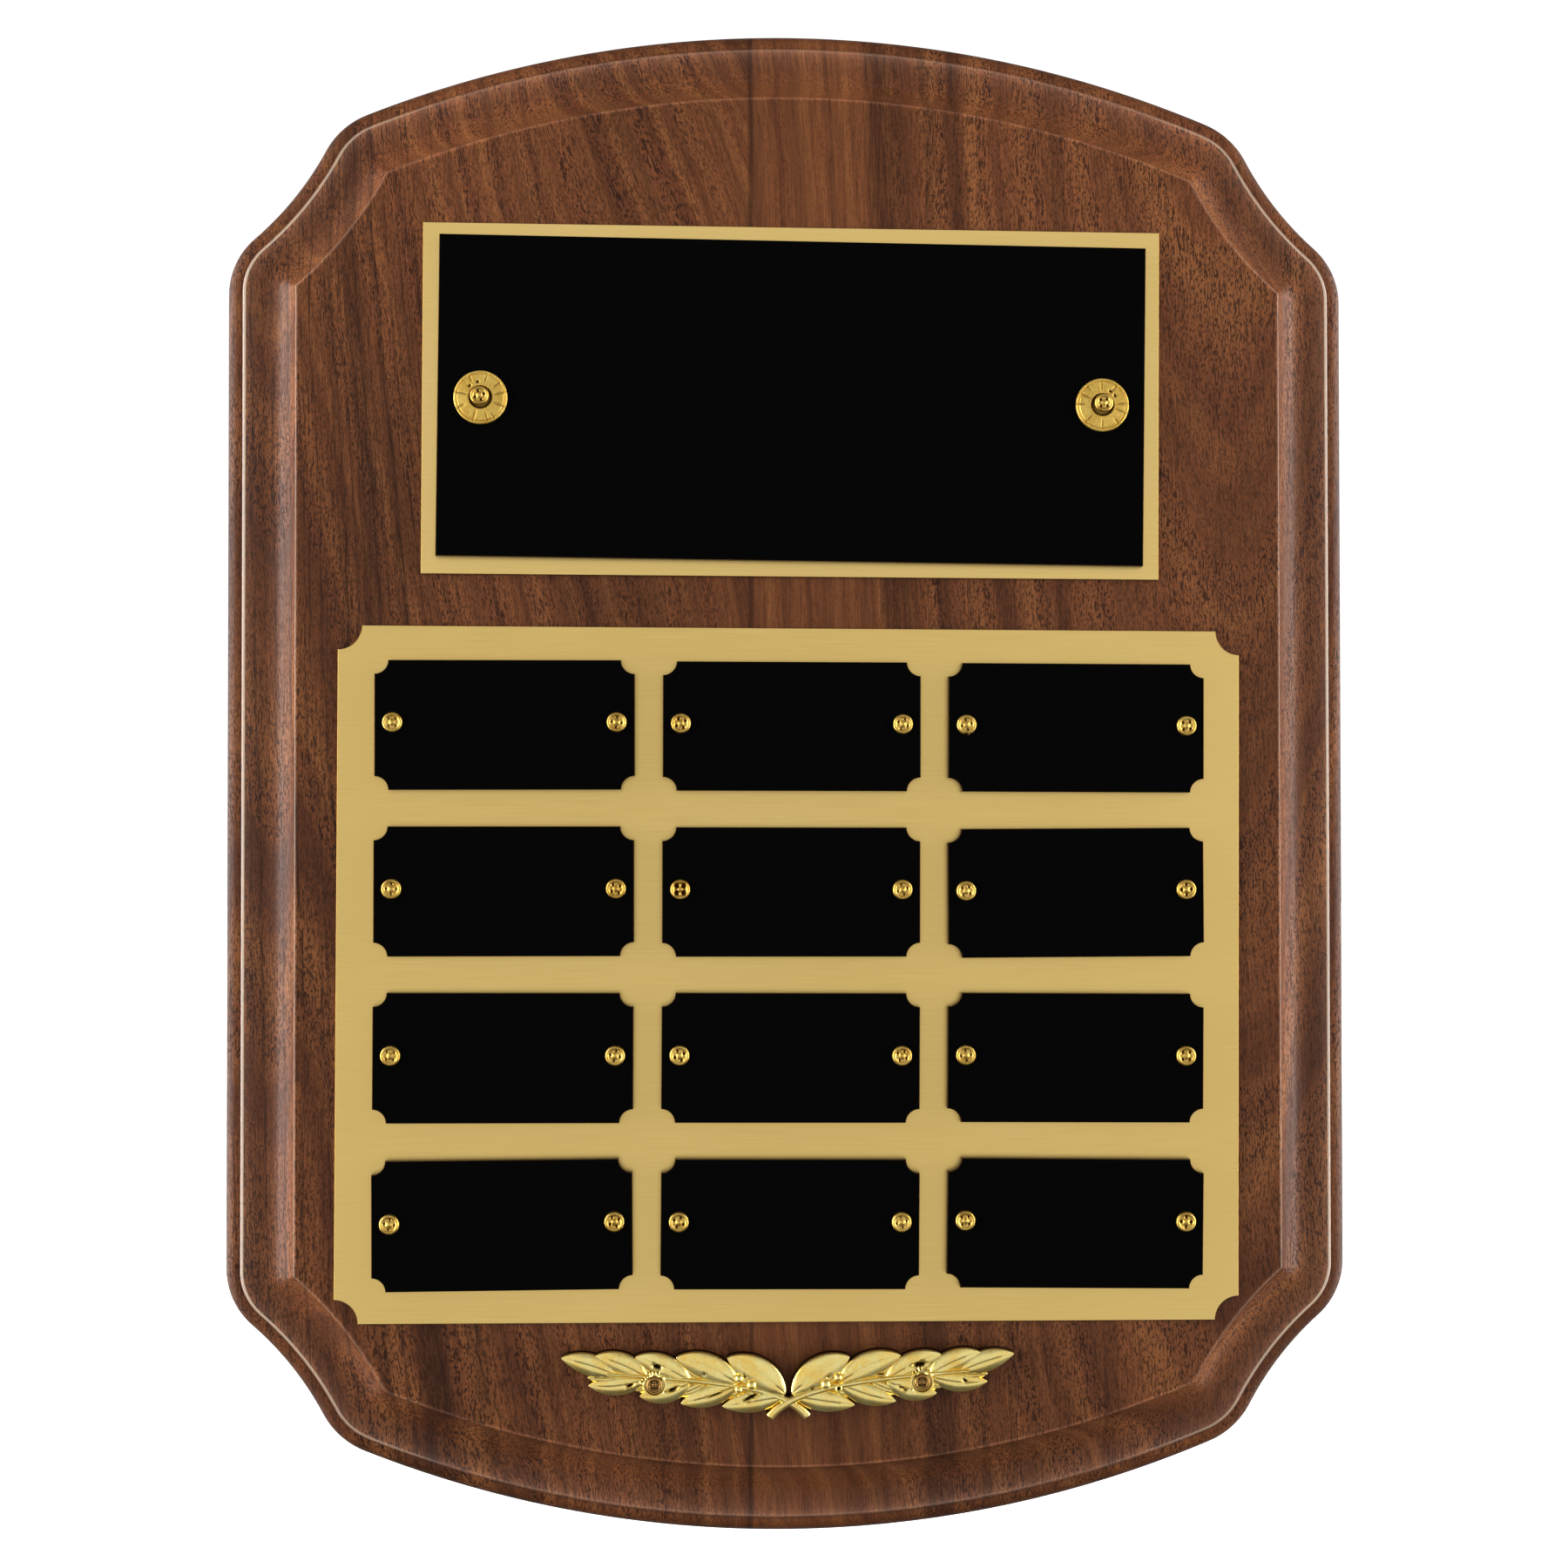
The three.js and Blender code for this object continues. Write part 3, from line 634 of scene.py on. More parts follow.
pore_dark = add_node(tree, "ShaderNodeMath", {0: pores, 1: 0.85}, operation="MULTIPLY")
pored = add_node(tree, "ShaderNodeMix", {
    "Factor": pore_dark, 6: ringed, 7: linear("26130b")}, data_type="RGBA")

# The glue line shows as a hair of darker wood where the two staves meet.
from_glue = add_node(tree, "ShaderNodeMath", {
    0: flat.outputs["X"], 1: glue_line}, operation="SUBTRACT")
from_glue = add_node(tree, "ShaderNodeMath", {0: from_glue}, operation="ABSOLUTE")
glue = add_node(tree, "ShaderNodeMapRange", {
    "Value": from_glue, "From Min": 0.0002, "From Max": 0.0009, "To Min": 0.6, "To Max": 0.0,
}, interpolation_type="SMOOTHSTEP")
jointed = add_node(tree, "ShaderNodeMix", {
    "Factor": glue, 6: pored, 7: linear("2a170e")}, data_type="RGBA")

# The moulding's edges: paler with painted highlights, darker with painted shade, and glossier.
# At the board's sides the lip's painted highlight is mixed towards a pale tan.
edge_tint = add_node(tree, "ShaderNodeAttribute", attribute_name="painted_edge_shading").outputs["Fac"]
side_highlight_share = add_node(tree, "ShaderNodeMapRange", {
    "Value": sideways, "From Min": 0.075, "From Max": 0.128, "To Min": 0.1, "To Max": 1.0,
}, interpolation_type="SMOOTHSTEP")
# Painted highlight: the lip is mixed towards pale tan, most at the board's left and right sides.
painted_lip_highlight = add_node(tree, "ShaderNodeMapRange", {
    "Value": edge_tint, "From Min": 0.8, "From Max": 2.2, "To Min": 0.0, "To Max": side_highlight_share,
})
most_tint = 0.65
edge_tint = add_node(tree, "ShaderNodeMath", {0: edge_tint, 1: most_tint}, operation="MINIMUM")
edge_tint = add_node(tree, "ShaderNodeMath", {0: edge_tint, 1: 1.0}, operation="ADD")
painted_edge_colour = add_node(tree, "ShaderNodeMix", {
    "Factor": 1.0, 6: jointed, 7: edge_tint}, data_type="RGBA", blend_type="MULTIPLY")
painted_edge_colour = add_node(tree, "ShaderNodeMix", {
    "Factor": painted_lip_highlight, 6: painted_edge_colour, 7: linear("d9c3a8")}, data_type="RGBA")
bright_lacquer = add_node(tree, "ShaderNodeAttribute", attribute_name="edge_gloss").outputs["Fac"]

lacquer_rough = add_node(tree, "ShaderNodeMapRange", {
    "Value": pores, "From Min": 0.0, "From Max": 1.0, "To Min": 0.34, "To Max": 0.6})
dents = add_node(tree, "ShaderNodeBump", {
    "Height": add_node(tree, "ShaderNodeMath", {0: 1.0, 1: pores}, operation="SUBTRACT"),
    "Strength": 0.4, "Distance": 0.0001,
})
plug_in(tree, tree.nodes["Principled BSDF"], {
    "Base Color": painted_edge_colour, "Roughness": lacquer_rough, "Normal": dents, "IOR": 1.5,
    "Specular IOR Level": 0.1, "Coat Weight": bright_lacquer, "Coat Roughness": 0.25,
})

piece("walnut_board", bm, [walnut], ["board"])


# ------------------------------------------------------------------ header backing
# A plain rectangle of brass sheet, brushed along its length and lacquered. It lies flat
# on the board under the header plate, and the two header pins go through it.

header_tilt = -0.3
header_sheet_size = (173, 82.2)
sheet_edge_round = 0.12
pin_hole_radius = 0.9


def middle_of(node):
    low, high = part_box(node)
    return (low + high) / 2


def pin_spots(node, tilt, pins):
    """Where a sheet's pins go through it, in millimetres from its middle along its own axes."""
    back = Matrix.Rotation(math.radians(tilt), 3, "Y")
    spots = [back @ (middle_of(pin) - middle_of(node)) / MM for pin in pins]
    return [(spot.x, spot.z) for spot in spots]


def sheet_outline(mesh, width, height, notch):
    """A rectangle's edges about the origin; a notch scoops each corner by a quarter circle."""
    already = len(mesh.edges)
    ends = []
    for right, up, start in ((1, -1, 180), (1, 1, 270), (-1, 1, 0), (-1, -1, 90)):
        corner = Vector((right * width / 2, 0, up * height / 2)) * MM
        first = last = mesh.verts.new(corner)
        if notch:
            start = math.radians(start)
            first.co += Vector((math.cos(start), 0, math.sin(start))) * notch * MM
            last = bmesh.ops.spin(
                mesh, geom=[first], cent=corner, axis=(0, -1, 0), angle=-math.pi / 2,
                steps=10)["geom_last"][0]
        ends.append((first, last))
    for (_, last), (first, _) in zip(ends, ends[1:] + ends[:1]):
        mesh.edges.new((last, first))
    mesh.edges.ensure_lookup_table()
    return mesh.edges[already:]


def sheared_sheet(node, width, height, notch, tilt, pins, edge_round):
    """A flat plate in its node's place, with pin holes, an eased front edge and sheared sides.

    Its width, height, corner notch and edge round are in millimetres, its tilt in degrees."""
    low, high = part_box(node)
    thickness = high.y - low.y
    mesh = bmesh.new()
    edges = list(sheet_outline(mesh, width, height, notch))
    for x, z in pin_spots(node, tilt, pins):
        already = len(mesh.edges)
        bmesh.ops.create_circle(
            mesh, segments=16, radius=pin_hole_radius * MM,
            matrix=Matrix.Translation((x * MM, 0, z * MM)) @ Matrix.Rotation(math.pi / 2, 4, "X"))
        mesh.edges.ensure_lookup_table()
        edges += mesh.edges[already:]
    back = bmesh.ops.triangle_fill(mesh, edges=edges, use_beauty=True, normal=(0, -1, 0))["geom"]
    faces = [item for item in back if isinstance(item, bmesh.types.BMFace)]
    front = bmesh.ops.extrude_face_region(mesh, geom=faces, use_keep_orig=True)["geom"]
    front = [item for item in front if isinstance(item, bmesh.types.BMVert)]
    bmesh.ops.translate(mesh, vec=(0, -thickness, 0), verts=front)
    bmesh.ops.recalc_face_normals(mesh, faces=mesh.faces)
    rims = [edge for edge in mesh.edges
            if max(vert.co.y for vert in edge.verts) < -thickness * 0.99
            and edge.calc_face_angle(0) > 1]
    bmesh.ops.bevel(
        mesh, geom=rims, offset=edge_round * MM, segments=2, profile=0.5, affect="EDGES",
        material=-1)
    for face in mesh.faces:
        face.material_index = 0 if face.normal.y < -0.99 else 1
    bmesh.ops.transform(
        mesh, verts=mesh.verts,
        matrix=Matrix.Translation((middle_of(node).x, high.y, middle_of(node).z))
        @ Matrix.Rotation(math.radians(-tilt), 4, "Y"))
    return mesh


def new_material(name):
    made = bpy.data.materials.new(name)
    made.use_nodes = True
    return made, made.node_tree, made.node_tree.nodes["Principled BSDF"]


# Brushed brass: fine lines along the sheet blur what it mirrors, so it looks a soft even
# yellow. The real lines are 0.05 mm apart; they are drawn 0.25 mm apart, so that they show.
def brushed_brass(name, dark, middle, light):
    made, tree, metal = new_material(name)
    place = add_node(tree, "ShaderNodeTexCoord").outputs["Object"]
    line_place = add_node(tree, "ShaderNodeMapping", {
        "Vector": place, "Scale": (1 / 0.02, 1 / 0.02, 1 / 0.00025)})
    lines = add_node(tree, "ShaderNodeTexNoise", {
        "Vector": line_place, "Scale": 1.0, "Detail": 3.0, "Roughness": 0.7})
    haze = add_node(tree, "ShaderNodeTexNoise", {
        "Vector": place, "Scale": 14.0, "Detail": 2.0})
    tone = add_node(tree, "ShaderNodeMix", {
        "Factor": 0.3, 2: lines, 3: haze}, data_type="FLOAT")
    shade = add_node(tree, "ShaderNodeValToRGB", {"Fac": tone}, stops=(
        (0.36, dark), (0.5, middle), (0.64, light)))
    rough = add_node(tree, "ShaderNodeMapRange", {
        "Value": lines, "From Min": 0.3, "From Max": 0.7, "To Min": 0.33, "To Max": 0.42})
    scratch = add_node(tree, "ShaderNodeBump", {
        "Height": lines, "Strength": 0.12, "Distance": 0.00005})
    plug_in(tree, metal, {"Base Color": shade, "Roughness": rough, "Normal": scratch, "Metallic": 1})
    return made


# A sheared edge shows the metal's core in fine upright lines, drawn 0.5 mm apart.
def sheared_edge(name, dark, light):
    made, tree, metal = new_material(name)
    shear_place = add_node(tree, "ShaderNodeMapping", {
        "Vector": add_node(tree, "ShaderNodeTexCoord").outputs["Object"],
        "Scale": (1 / 0.0005, 1 / 0.003, 1 / 0.0005)})
    shear = add_node(tree, "ShaderNodeTexNoise", {
        "Vector": shear_place, "Scale": 1.0, "Detail": 2.0})
    shade = add_node(tree, "ShaderNodeValToRGB", {"Fac": shear}, stops=(
        (0.3, dark), (0.7, light)))
    rough = add_node(tree, "ShaderNodeMapRange", {
        "Value": shear, "To Min": 0.3, "To Max": 0.5})
    plug_in(tree, metal, {"Base Color": shade, "Roughness": rough, "Metallic": 1})
    return made


# The brass sheets' edges are lacquered with their faces: a plain yellow, a little deeper.
brass_edge = sheared_edge("lacquered_brass_edge", "8a6a34", "b8934e")

header_brass = brushed_brass("brushed_header_brass", "eccb7b", "f1d082", "f6d589")
header_pins = ["header_pin_left", "header_pin_right"]
piece("header_brass_sheet",
      sheared_sheet("header_backing", *header_sheet_size, 0, header_tilt, header_pins, sheet_edge_round),
      [header_brass, brass_edge], ["header_backing"])


# ------------------------------------------------------------------ header plate
# The engraving plate: brass with a baked black lacquer on its face, left blank. Its edges
# are painted dark brown as shade. It sits a touch off square.

header_plate_size = (165.4, 74.9)
header_plate_tilt = header_tilt - 0.35
plate_edge_round = 0.14

# Black lacquer on brass: deep and nearly matt, with the faint cloudiness and the fine
# dust of a baked coat, 0.4 mm apart.
black_lacquer, tree, coat = new_material("baked_black_lacquer")
place = add_node(tree, "ShaderNodeTexCoord").outputs["Object"]
orange_peel = add_node(tree, "ShaderNodeTexNoise", {
    "Vector": place, "Scale": 1 / 0.0012, "Detail": 2.0})
dust = add_node(tree, "ShaderNodeTexNoise", {
    "Vector": place, "Scale": 1 / 0.0004, "Detail": 1.0})
dust = add_node(tree, "ShaderNodeMapRange", {
    "Value": dust, "From Min": 0.76, "From Max": 0.84}, interpolation_type="SMOOTHSTEP")
black = add_node(tree, "ShaderNodeMix", {
    "Factor": dust, 6: linear("050505"), 7: linear("2a2622")}, data_type="RGBA")
coat_rough = add_node(tree, "ShaderNodeMapRange", {
    "Value": orange_peel, "From Min": 0.3, "From Max": 0.7, "To Min": 0.36, "To Max": 0.44,
})
coat_bump = add_node(tree, "ShaderNodeBump", {
    "Height": orange_peel, "Strength": 0.05, "Distance": 0.00005})
plug_in(tree, coat, {
    "Base Color": black, "Roughness": coat_rough, "Normal": coat_bump, "Specular IOR Level": 0.01})

# The plates' edges: dark brown, painted shade for the edge and the gap under it, a dark line round the
# black.
plate_edge_shade = sheared_edge("painted_shade_plate_edge", "1e140b", "4a3018")

piece("header_black_plate",
      sheared_sheet(
          "header_plate", *header_plate_size, 0, header_plate_tilt, header_pins, plate_edge_round),
      [black_lacquer, plate_edge_shade], ["header_plate"])


# ------------------------------------------------------------------ header rosettes
# Two round washers pressed from thin brass and gilded: uneven ribs run in from a raised
# rim, and the middle is sunk for the pin's head.

def turned_solid(profile, steps):
    """A solid of revolution about its own Y axis from (radius, height) points, in millimetres."""
    mesh = bmesh.new()
    points = [mesh.verts.new((radius * MM, -height * MM, 0)) for radius, height in profile]
    edges = [mesh.edges.new(pair) for pair in zip(points, points[1:])]
    bmesh.ops.spin(
        mesh, geom=points + edges, cent=(0, 0, 0), axis=(0, 1, 0), angle=math.tau, steps=steps,
        use_merge=True)
    bmesh.ops.remove_doubles(mesh, verts=mesh.verts, dist=1e-7)
    bmesh.ops.recalc_face_normals(mesh, faces=mesh.faces)
    return mesh


rosette_low, rosette_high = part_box("header_rosette_left")
rosette_spare = 0.36
rosette_radius = (rosette_high.x - rosette_low.x) / 2 / MM - rosette_spare
rosette_height = (rosette_high.y - rosette_low.y) / MM
rosette_profile = [
    (1.3, 0), (rosette_radius - 0.15, 0), (rosette_radius, 0.15),
    (rosette_radius, 0.62), (rosette_radius - 0.1, 0.8), (rosette_radius - 0.3, 0.88),
    (rosette_radius - 0.5, 0.82), (rosette_radius - 0.62, 0.68), (rosette_radius - 0.76, 0.68),
    (rosette_radius - 0.95, 0.86),
    *[(radius, 0.88 + 0.3 * (1 - (radius - 2.9) / 2.75))
      for radius in (5.3, 4.9, 4.5, 4.1, 3.7, 3.4, 3.15)],
    (2.9, 1.18), (2.72, rosette_height - 0.02), (2.6, 1.05), (2.5, 0.75), (2.4, 0.5),
    (1.3, 0.45), (1.3, 0),
]
# The degrees at which each rosette's ribs stand, with how far in each rib runs, and the
# degrees of the nicks by its middle.
rib_angles = {"left": (12, 38, 74, 118, 168, 205, 251, 287, 304, 338),
              "right": (4, 54, 92, 129, 152, 178, 226, 270, 311, 341)}
rib_inner = (2.9, 3.3, 2.8, 3.9, 2.7, 3.8, 3.0, 3.2, 4.0, 2.8)
rosette_nicks = {"left": (100, 133), "right": (37, 60)}
# How far each slipped from its pin, in millimetres, before the pin was driven home.
rosette_slip = {"left": (0.15, -0.3), "right": (-0.2, -0.35)}


def press(mesh, hollows, stain_and_shade=1.0):
    """Presses hollows into a front face and browns them, partly as tarnish that gathers there and partly
    as painted shade.

    Each is (x, z, half length, half width, degrees, depth), in millimetres."""
    tarnish_and_shade = mesh.verts.layers.float.get("tarnish_and_shade") or mesh.verts.layers.float.new("tarnish_and_shade")
    mesh.normal_update()
    for vert in mesh.verts:
        if vert.normal.y > -0.3:
            continue
        sunk = 0
        for x, z, half_length, half_width, degrees, depth in hollows:
            turn = math.radians(degrees)
            right = vert.co.x / MM - x
            up = vert.co.z / MM - z
            along = (right * math.cos(turn) + up * math.sin(turn)) / half_length
            across = (up * math.cos(turn) - right * math.sin(turn)) / half_width
            share = math.exp(-(along ** 2 + across ** 2) ** 2)
            sunk = max(sunk, share * depth)
            vert[tarnish_and_shade] = max(vert[tarnish_and_shade], share * stain_and_shade)
        vert.co.y += sunk * MM


def round_about(radius, degrees, *shape):
    """A hollow on a circle about the middle: its shape's length runs out from the middle."""
    turn = math.radians(degrees)
    half_length, half_width, depth = shape
    return (radius * math.cos(turn), radius * math.sin(turn), half_length, half_width, degrees, depth)


# Gilded brass: a deep warm yellow from a thin gold wash, with a fine 0.25 mm pressed
# grain. It is browned where the pressing is deep and on cast walls, partly as tarnish where
# polishing never reaches and partly as painted shade.
def gilded_brass(name, dark, light, brown, grain, roughness):
    made, tree, metal = new_material(name)
    place = add_node(tree, "ShaderNodeTexCoord").outputs["Object"]
    speckle = add_node(tree, "ShaderNodeTexNoise", {
        "Vector": place, "Scale": 1 / grain, "Detail": 3.0, "Roughness": 0.65})
    wash = add_node(tree, "ShaderNodeTexNoise", {
        "Vector": place, "Scale": 1 / 0.004, "Detail": 2.0})
    tone = add_node(tree, "ShaderNodeMix", {
        "Factor": 0.45, 2: speckle, 3: wash}, data_type="FLOAT")
    gold = add_node(tree, "ShaderNodeValToRGB", {"Fac": tone}, stops=(
        (0.38, dark), (0.6, light)))
    tarnish_and_shade = add_node(tree, "ShaderNodeAttribute", attribute_name="tarnish_and_shade").outputs["Fac"]
    stain_and_shade_edge = add_node(tree, "ShaderNodeMath", {
        0: speckle, 1: 0.5, 2: tarnish_and_shade}, operation="MULTIPLY_ADD")
    stain_and_shade = add_node(tree, "ShaderNodeMapRange", {
        "Value": stain_and_shade_edge, "From Min": 0.4, "From Max": 1.1,
    }, interpolation_type="SMOOTHSTEP")
    shade = add_node(tree, "ShaderNodeMix", {
        "Factor": stain_and_shade, 6: gold, 7: linear(brown)}, data_type="RGBA")
    rough = add_node(tree, "ShaderNodeMapRange", {
        "Value": stain_and_shade_edge, "From Min": 0.2, "From Max": 1.3,
        "To Min": roughness, "To Max": roughness + 0.3})
    bump = add_node(tree, "ShaderNodeBump", {
        "Height": speckle, "Strength": 0.25, "Distance": grain / 8})
    plug_in(tree, metal, {"Base Color": shade, "Roughness": rough, "Normal": bump, "Metallic": 1})
    return made


rosette_gilt = gilded_brass("gilded_rosette_brass", "d0a748", "edcc6e", "4a2c12", 0.0004, 0.5)
rib_end = rosette_radius - 0.2
for side, angles in rib_angles.items():
    bm = turned_solid(rosette_profile, 160)
    ribs = [round_about((rib_end + inner) / 2, angle, (rib_end - inner) / 2, 0.32, 0.14)
            for angle, inner in zip(angles, rib_inner)]
    nicks = [round_about(3.6, angle, 0.3, 0.5, 0.3) for angle in rosette_nicks[side]]
    ring = [round_about(2.5, angle, 0.26, 0.45, 0.1) for angle in range(0, 360, 15)]
    press(bm, ribs, 0.52)
    press(bm, nicks + ring)
    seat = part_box(f"header_rosette_{side}")[1].y
    middle = middle_of(f"header_rosette_{side}")
    slip = rosette_slip[side]
    bmesh.ops.translate(
        bm, vec=(middle.x + slip[0] * MM, seat, middle.z + slip[1] * MM), verts=bm.verts)
    piece(f"rosette_{side}", bm, [rosette_gilt], [f"header_rosette_{side}"],
          smooth_under=40)


# ------------------------------------------------------------------ header pins
# Two drive pins, headed and gilded: a bright rim, a shallow dish and four punch marks
# round a raised middle. They go through rosette, plate and sheet into the board.

pin_head_height = 1.15
pin_length = 11
pin_shank_radius = 0.65
pin_gilt = gilded_brass("gilded_pin_brass", "b98f3c", "e0bb62", "452812", 0.0006, 0.4)


def drive_pin(node, radius, turn, mark_size, mark_depth, nicks=()):
    """A pin in its node's place, its four punch marks turned by some degrees."""
    profile = [
        (0, -pin_length), (pin_shank_radius, 1.6 - pin_length), (pin_shank_radius, 0),
        (radius - 0.08, 0), (radius, 0.1), (radius, 0.38), (radius - 0.06, 0.58),
        (radius - 0.2, 0.78), (radius - 0.38, 0.88), (radius - 0.54, 0.87), (radius - 0.68, 0.78),
        *[(radius * share, height) for share, height in (
            (0.64, 0.68), (0.57, 0.63), (0.5, 0.61), (0.43, 0.62), (0.36, 0.66), (0.29, 0.73),
            (0.21, 0.84), (0.13, 0.93), (0.06, 0.97))],
        (0, 0.98),
    ]
    mesh = turned_solid(profile, 40)
    marks = [round_about(radius * 0.5, turn + 90 * quarter, mark_size, mark_size, mark_depth)
             for quarter in range(4)]
    press(mesh, marks + list(nicks))
    low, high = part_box(node)
    bmesh.ops.translate(
        mesh, vec=(middle_of(node).x, low.y + pin_head_height * MM, middle_of(node).z),
        verts=mesh.verts)
    return mesh


def head_radius(node):
    low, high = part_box(node)
    return (high.x - low.x) / 2 / MM


for side, turn in (("left", 20), ("right", 48)):
    node = f"header_pin_{side}"
    pin = drive_pin(node, head_radius(node), turn, mark_size=0.36, mark_depth=0.25)
    piece(f"rosette_pin_{side}", pin, [pin_gilt], [node], smooth_under=40)


# ------------------------------------------------------------------ grid backing
# The large brass sheet under the nameplates, brushed along its width and lacquered, with
# a quarter circle punched out of each corner.

grid_sheet_size = (211.2, 162)
grid_scoop = 5.6
grid_tilt = -0.25
nameplate_size = (60.2, 30.1)
nameplate_scoop = 3.2
nameplate_leans = ((0.3, 0.1, 0), (0.2, 0.1, 0.5), (0, -0.1, -0.2), (0.5, -0.2, -0.5))
plate_names = [f"row{row + 1}_column{column + 1}" for row in range(4) for column in range(3)]
grid_pins = [f"nameplate_pin_{name}_{side}" for name in plate_names for side in ("left", "right")]

grid_brass = brushed_brass("brushed_grid_brass", "e6c475", "ebca7b", "f0cf81")
piece("grid_brass_sheet",
      sheared_sheet(
          "grid_backing", *grid_sheet_size, grid_scoop, grid_tilt, grid_pins, sheet_edge_round),
      [grid_brass, brass_edge], ["grid_backing"])


# ------------------------------------------------------------------ nameplates
# Twelve small engraving plates with scooped corners, of the same black lacquered brass
# as the header plate. Each was pinned by hand, so each leans by a fraction of a degree.

for name in plate_names:
    row, column = int(name[3]) - 1, int(name[-1]) - 1
    node = f"nameplate_{name}"
    own_pins = [pin for pin in grid_pins if name in pin]
    plate = sheared_sheet(
        node, *nameplate_size, nameplate_scoop, grid_tilt + nameplate_leans[row][column], own_pins,
        plate_edge_round)
    piece(f"black_{node}", plate, [black_lacquer, plate_edge_shade], [node])


# ------------------------------------------------------------------ nameplate pins
# Two drive pins to a nameplate, like the header's. Their punch marks stand at any angle
# and differ in depth; one mark is deep and browned, partly as tarnish and partly as painted
# shade, and one head has lost a bit of its rim.

for count, node in enumerate(grid_pins):
    turn = 45 + count * 37 % 90
    mark_size = 0.3 + 0.05 * (count % 3)
    mark_depth = 0.12 + 0.07 * (count * 5 % 4)
    nicks = ()
    if node == "nameplate_pin_row2_column2_left":
        turn, mark_size, mark_depth = 45, 0.62, 0.5
    if node == "nameplate_pin_row1_column3_left":
        nicks = [(-0.1, -2.3, 0.5, 0.35, 0, 0.8)]
    pin = drive_pin(node, head_radius(node), turn, mark_size, mark_depth, nicks)
    piece(node.replace("nameplate_pin", "drive_pin"), pin, [pin_gilt], [node],
          smooth_under=40)


# ------------------------------------------------------------------ laurel spray
# One die-cast ornament, gold plated: two laurel branches whose stems cross, with broad
# overlapping leaves and three berries each. Two bosses hold it just off the board.

laurel_rim = 3.9
laurel_off_board = 0.9
seat_radius = 2.2
seat_floor = 3.7
seat_spots = ((31, 2.2), (-31, 2.2))
stem_points = [Vector(point) for point in ((-4.4, -5.4), (1, 0.6), (12, 2.8), (42, 4.8))]

# Leaves from a branch's base to its end: where each leaves the stem, its tip, half width,
# how far its middle bows up, and how high it lies; inner leaves lap over outer ones.
laurel_leaves = (
    ((0.8, -0.2), (14.2, 8.2), 3.0, 0.9, 0.5),
    ((11.6, 2.2), (26, 8.4), 2.7, 0.8, 0.35),
    ((22.6, 2.8), (35.4, 8.6), 2.4, 0.6, 0.2),
    ((32.4, 3.6), (44.6, 8.9), 2.3, 0.6, 0.1),
    ((39.6, 4.4), (52.5, 8.5), 2.2, 0.4, 0.0),
    ((1.0, -0.6), (15.3, -2.9), 2.2, -0.1, 0.4),
    ((11.6, 2.2), (24.9, -2.1), 2.2, -0.5, 0.3),
    ((22.8, 2.6), (34.4, -0.4), 2.3, -0.6, 0.2),
    ((33.0, 3.6), (46.2, 2.2), 2.0, -0.8, 0.1),
    ((8.0, 1.6), (15.9, 6.6), 1.5, 0.2, -0.3),
    ((19.6, 2.6), (27.9, 7.0), 1.4, 0.2, -0.4),
    ((30.0, 3.2), (36.9, 7.2), 1.3, 0.2, -0.4),
    ((38.0, 4.2), (45.6, 7.4), 1.3, 0.2, -0.4),
    ((9.0, 2.0), (15.9, -0.9), 1.3, -0.2, -0.3),
    ((19.0, 2.6), (26.0, -0.4), 1.3, -0.2, -0.3),
    ((29.0, 3.0), (35.6, 0.9), 1.2, -0.2, -0.3),
    ((38.6, 4.2), (46.4, 3.9), 1.2, -0.2, -0.3),
)
laurel_berries = ((11.5, 3.6, 1.0), (8.6, 2.1, 1.2), (11.6, 1.1, 0.95))


def cast_form(mesh, side, line, half_width, height, steps):
    """Adds a closed raised form along a line, its walls falling to just off the board."""
    form = bmesh.new()
    tarnish_and_shade = form.verts.layers.float.new("tarnish_and_shade")
    bmesh.ops.create_grid(form, x_segments=steps, y_segments=14, size=1)
    for vert in form.verts:
        along = (vert.co.x + 1) / 2
        across = vert.co.y
        heading = line(min(along + 0.01, 1)) - line(max(along - 0.01, 0))
        spot = line(along) + Vector((-heading.y, heading.x)).normalized() * across * half_width(along)
        vert.co = Vector((side * spot.x, -height(along, across), spot.y)) * MM
    rim = [edge for edge in form.edges if edge.is_boundary]
    skirt = bmesh.ops.extrude_edge_only(form, edges=rim)["geom"]
    # The walls are stained a near-black brown: painted shade for the wall and the dark gap under the
    # casting.
    for vert in skirt:
        if isinstance(vert, bmesh.types.BMVert):
            vert.co.y = -laurel_off_board * MM
            vert[tarnish_and_shade] = 1.8
    hem = [edge for edge in skirt if isinstance(edge, bmesh.types.BMEdge) and edge.is_boundary]
    bmesh.ops.contextual_create(form, geom=hem)
    bmesh.ops.recalc_face_normals(form, faces=form.faces)
    bmesh.ops.bevel(
        form, geom=rim, offset=0.16 * MM, segments=2, profile=0.5, affect="EDGES", material=-1)
    add_in(mesh, form)


def add_leaf(mesh, side, base, tip, half_width, bow, lift):
    base, tip = Vector(base), Vector(tip)
    up = Vector((base.y - tip.y, tip.x - base.x)).normalized()

    def line(along):
        return base.lerp(tip, along) + up * bow * 4 * along * (1 - along)

    def width(along):
        return half_width * 1.1 * (along ** 0.72 * (1 - along) ** 0.84 / 0.34) + 0.08

    def height(along, across):
        crown = 0.75 * (1 - across ** 2) * min(1, 2.5 * (1 - along)) * min(1, 4 * along + 0.3)
        rib = 0.22 * math.exp(-(across / 0.13) ** 2) * min(1, 3 * (1 - along))
        return laurel_rim + lift + crown - rib

    cast_form(mesh, side, line, width, height, 34)


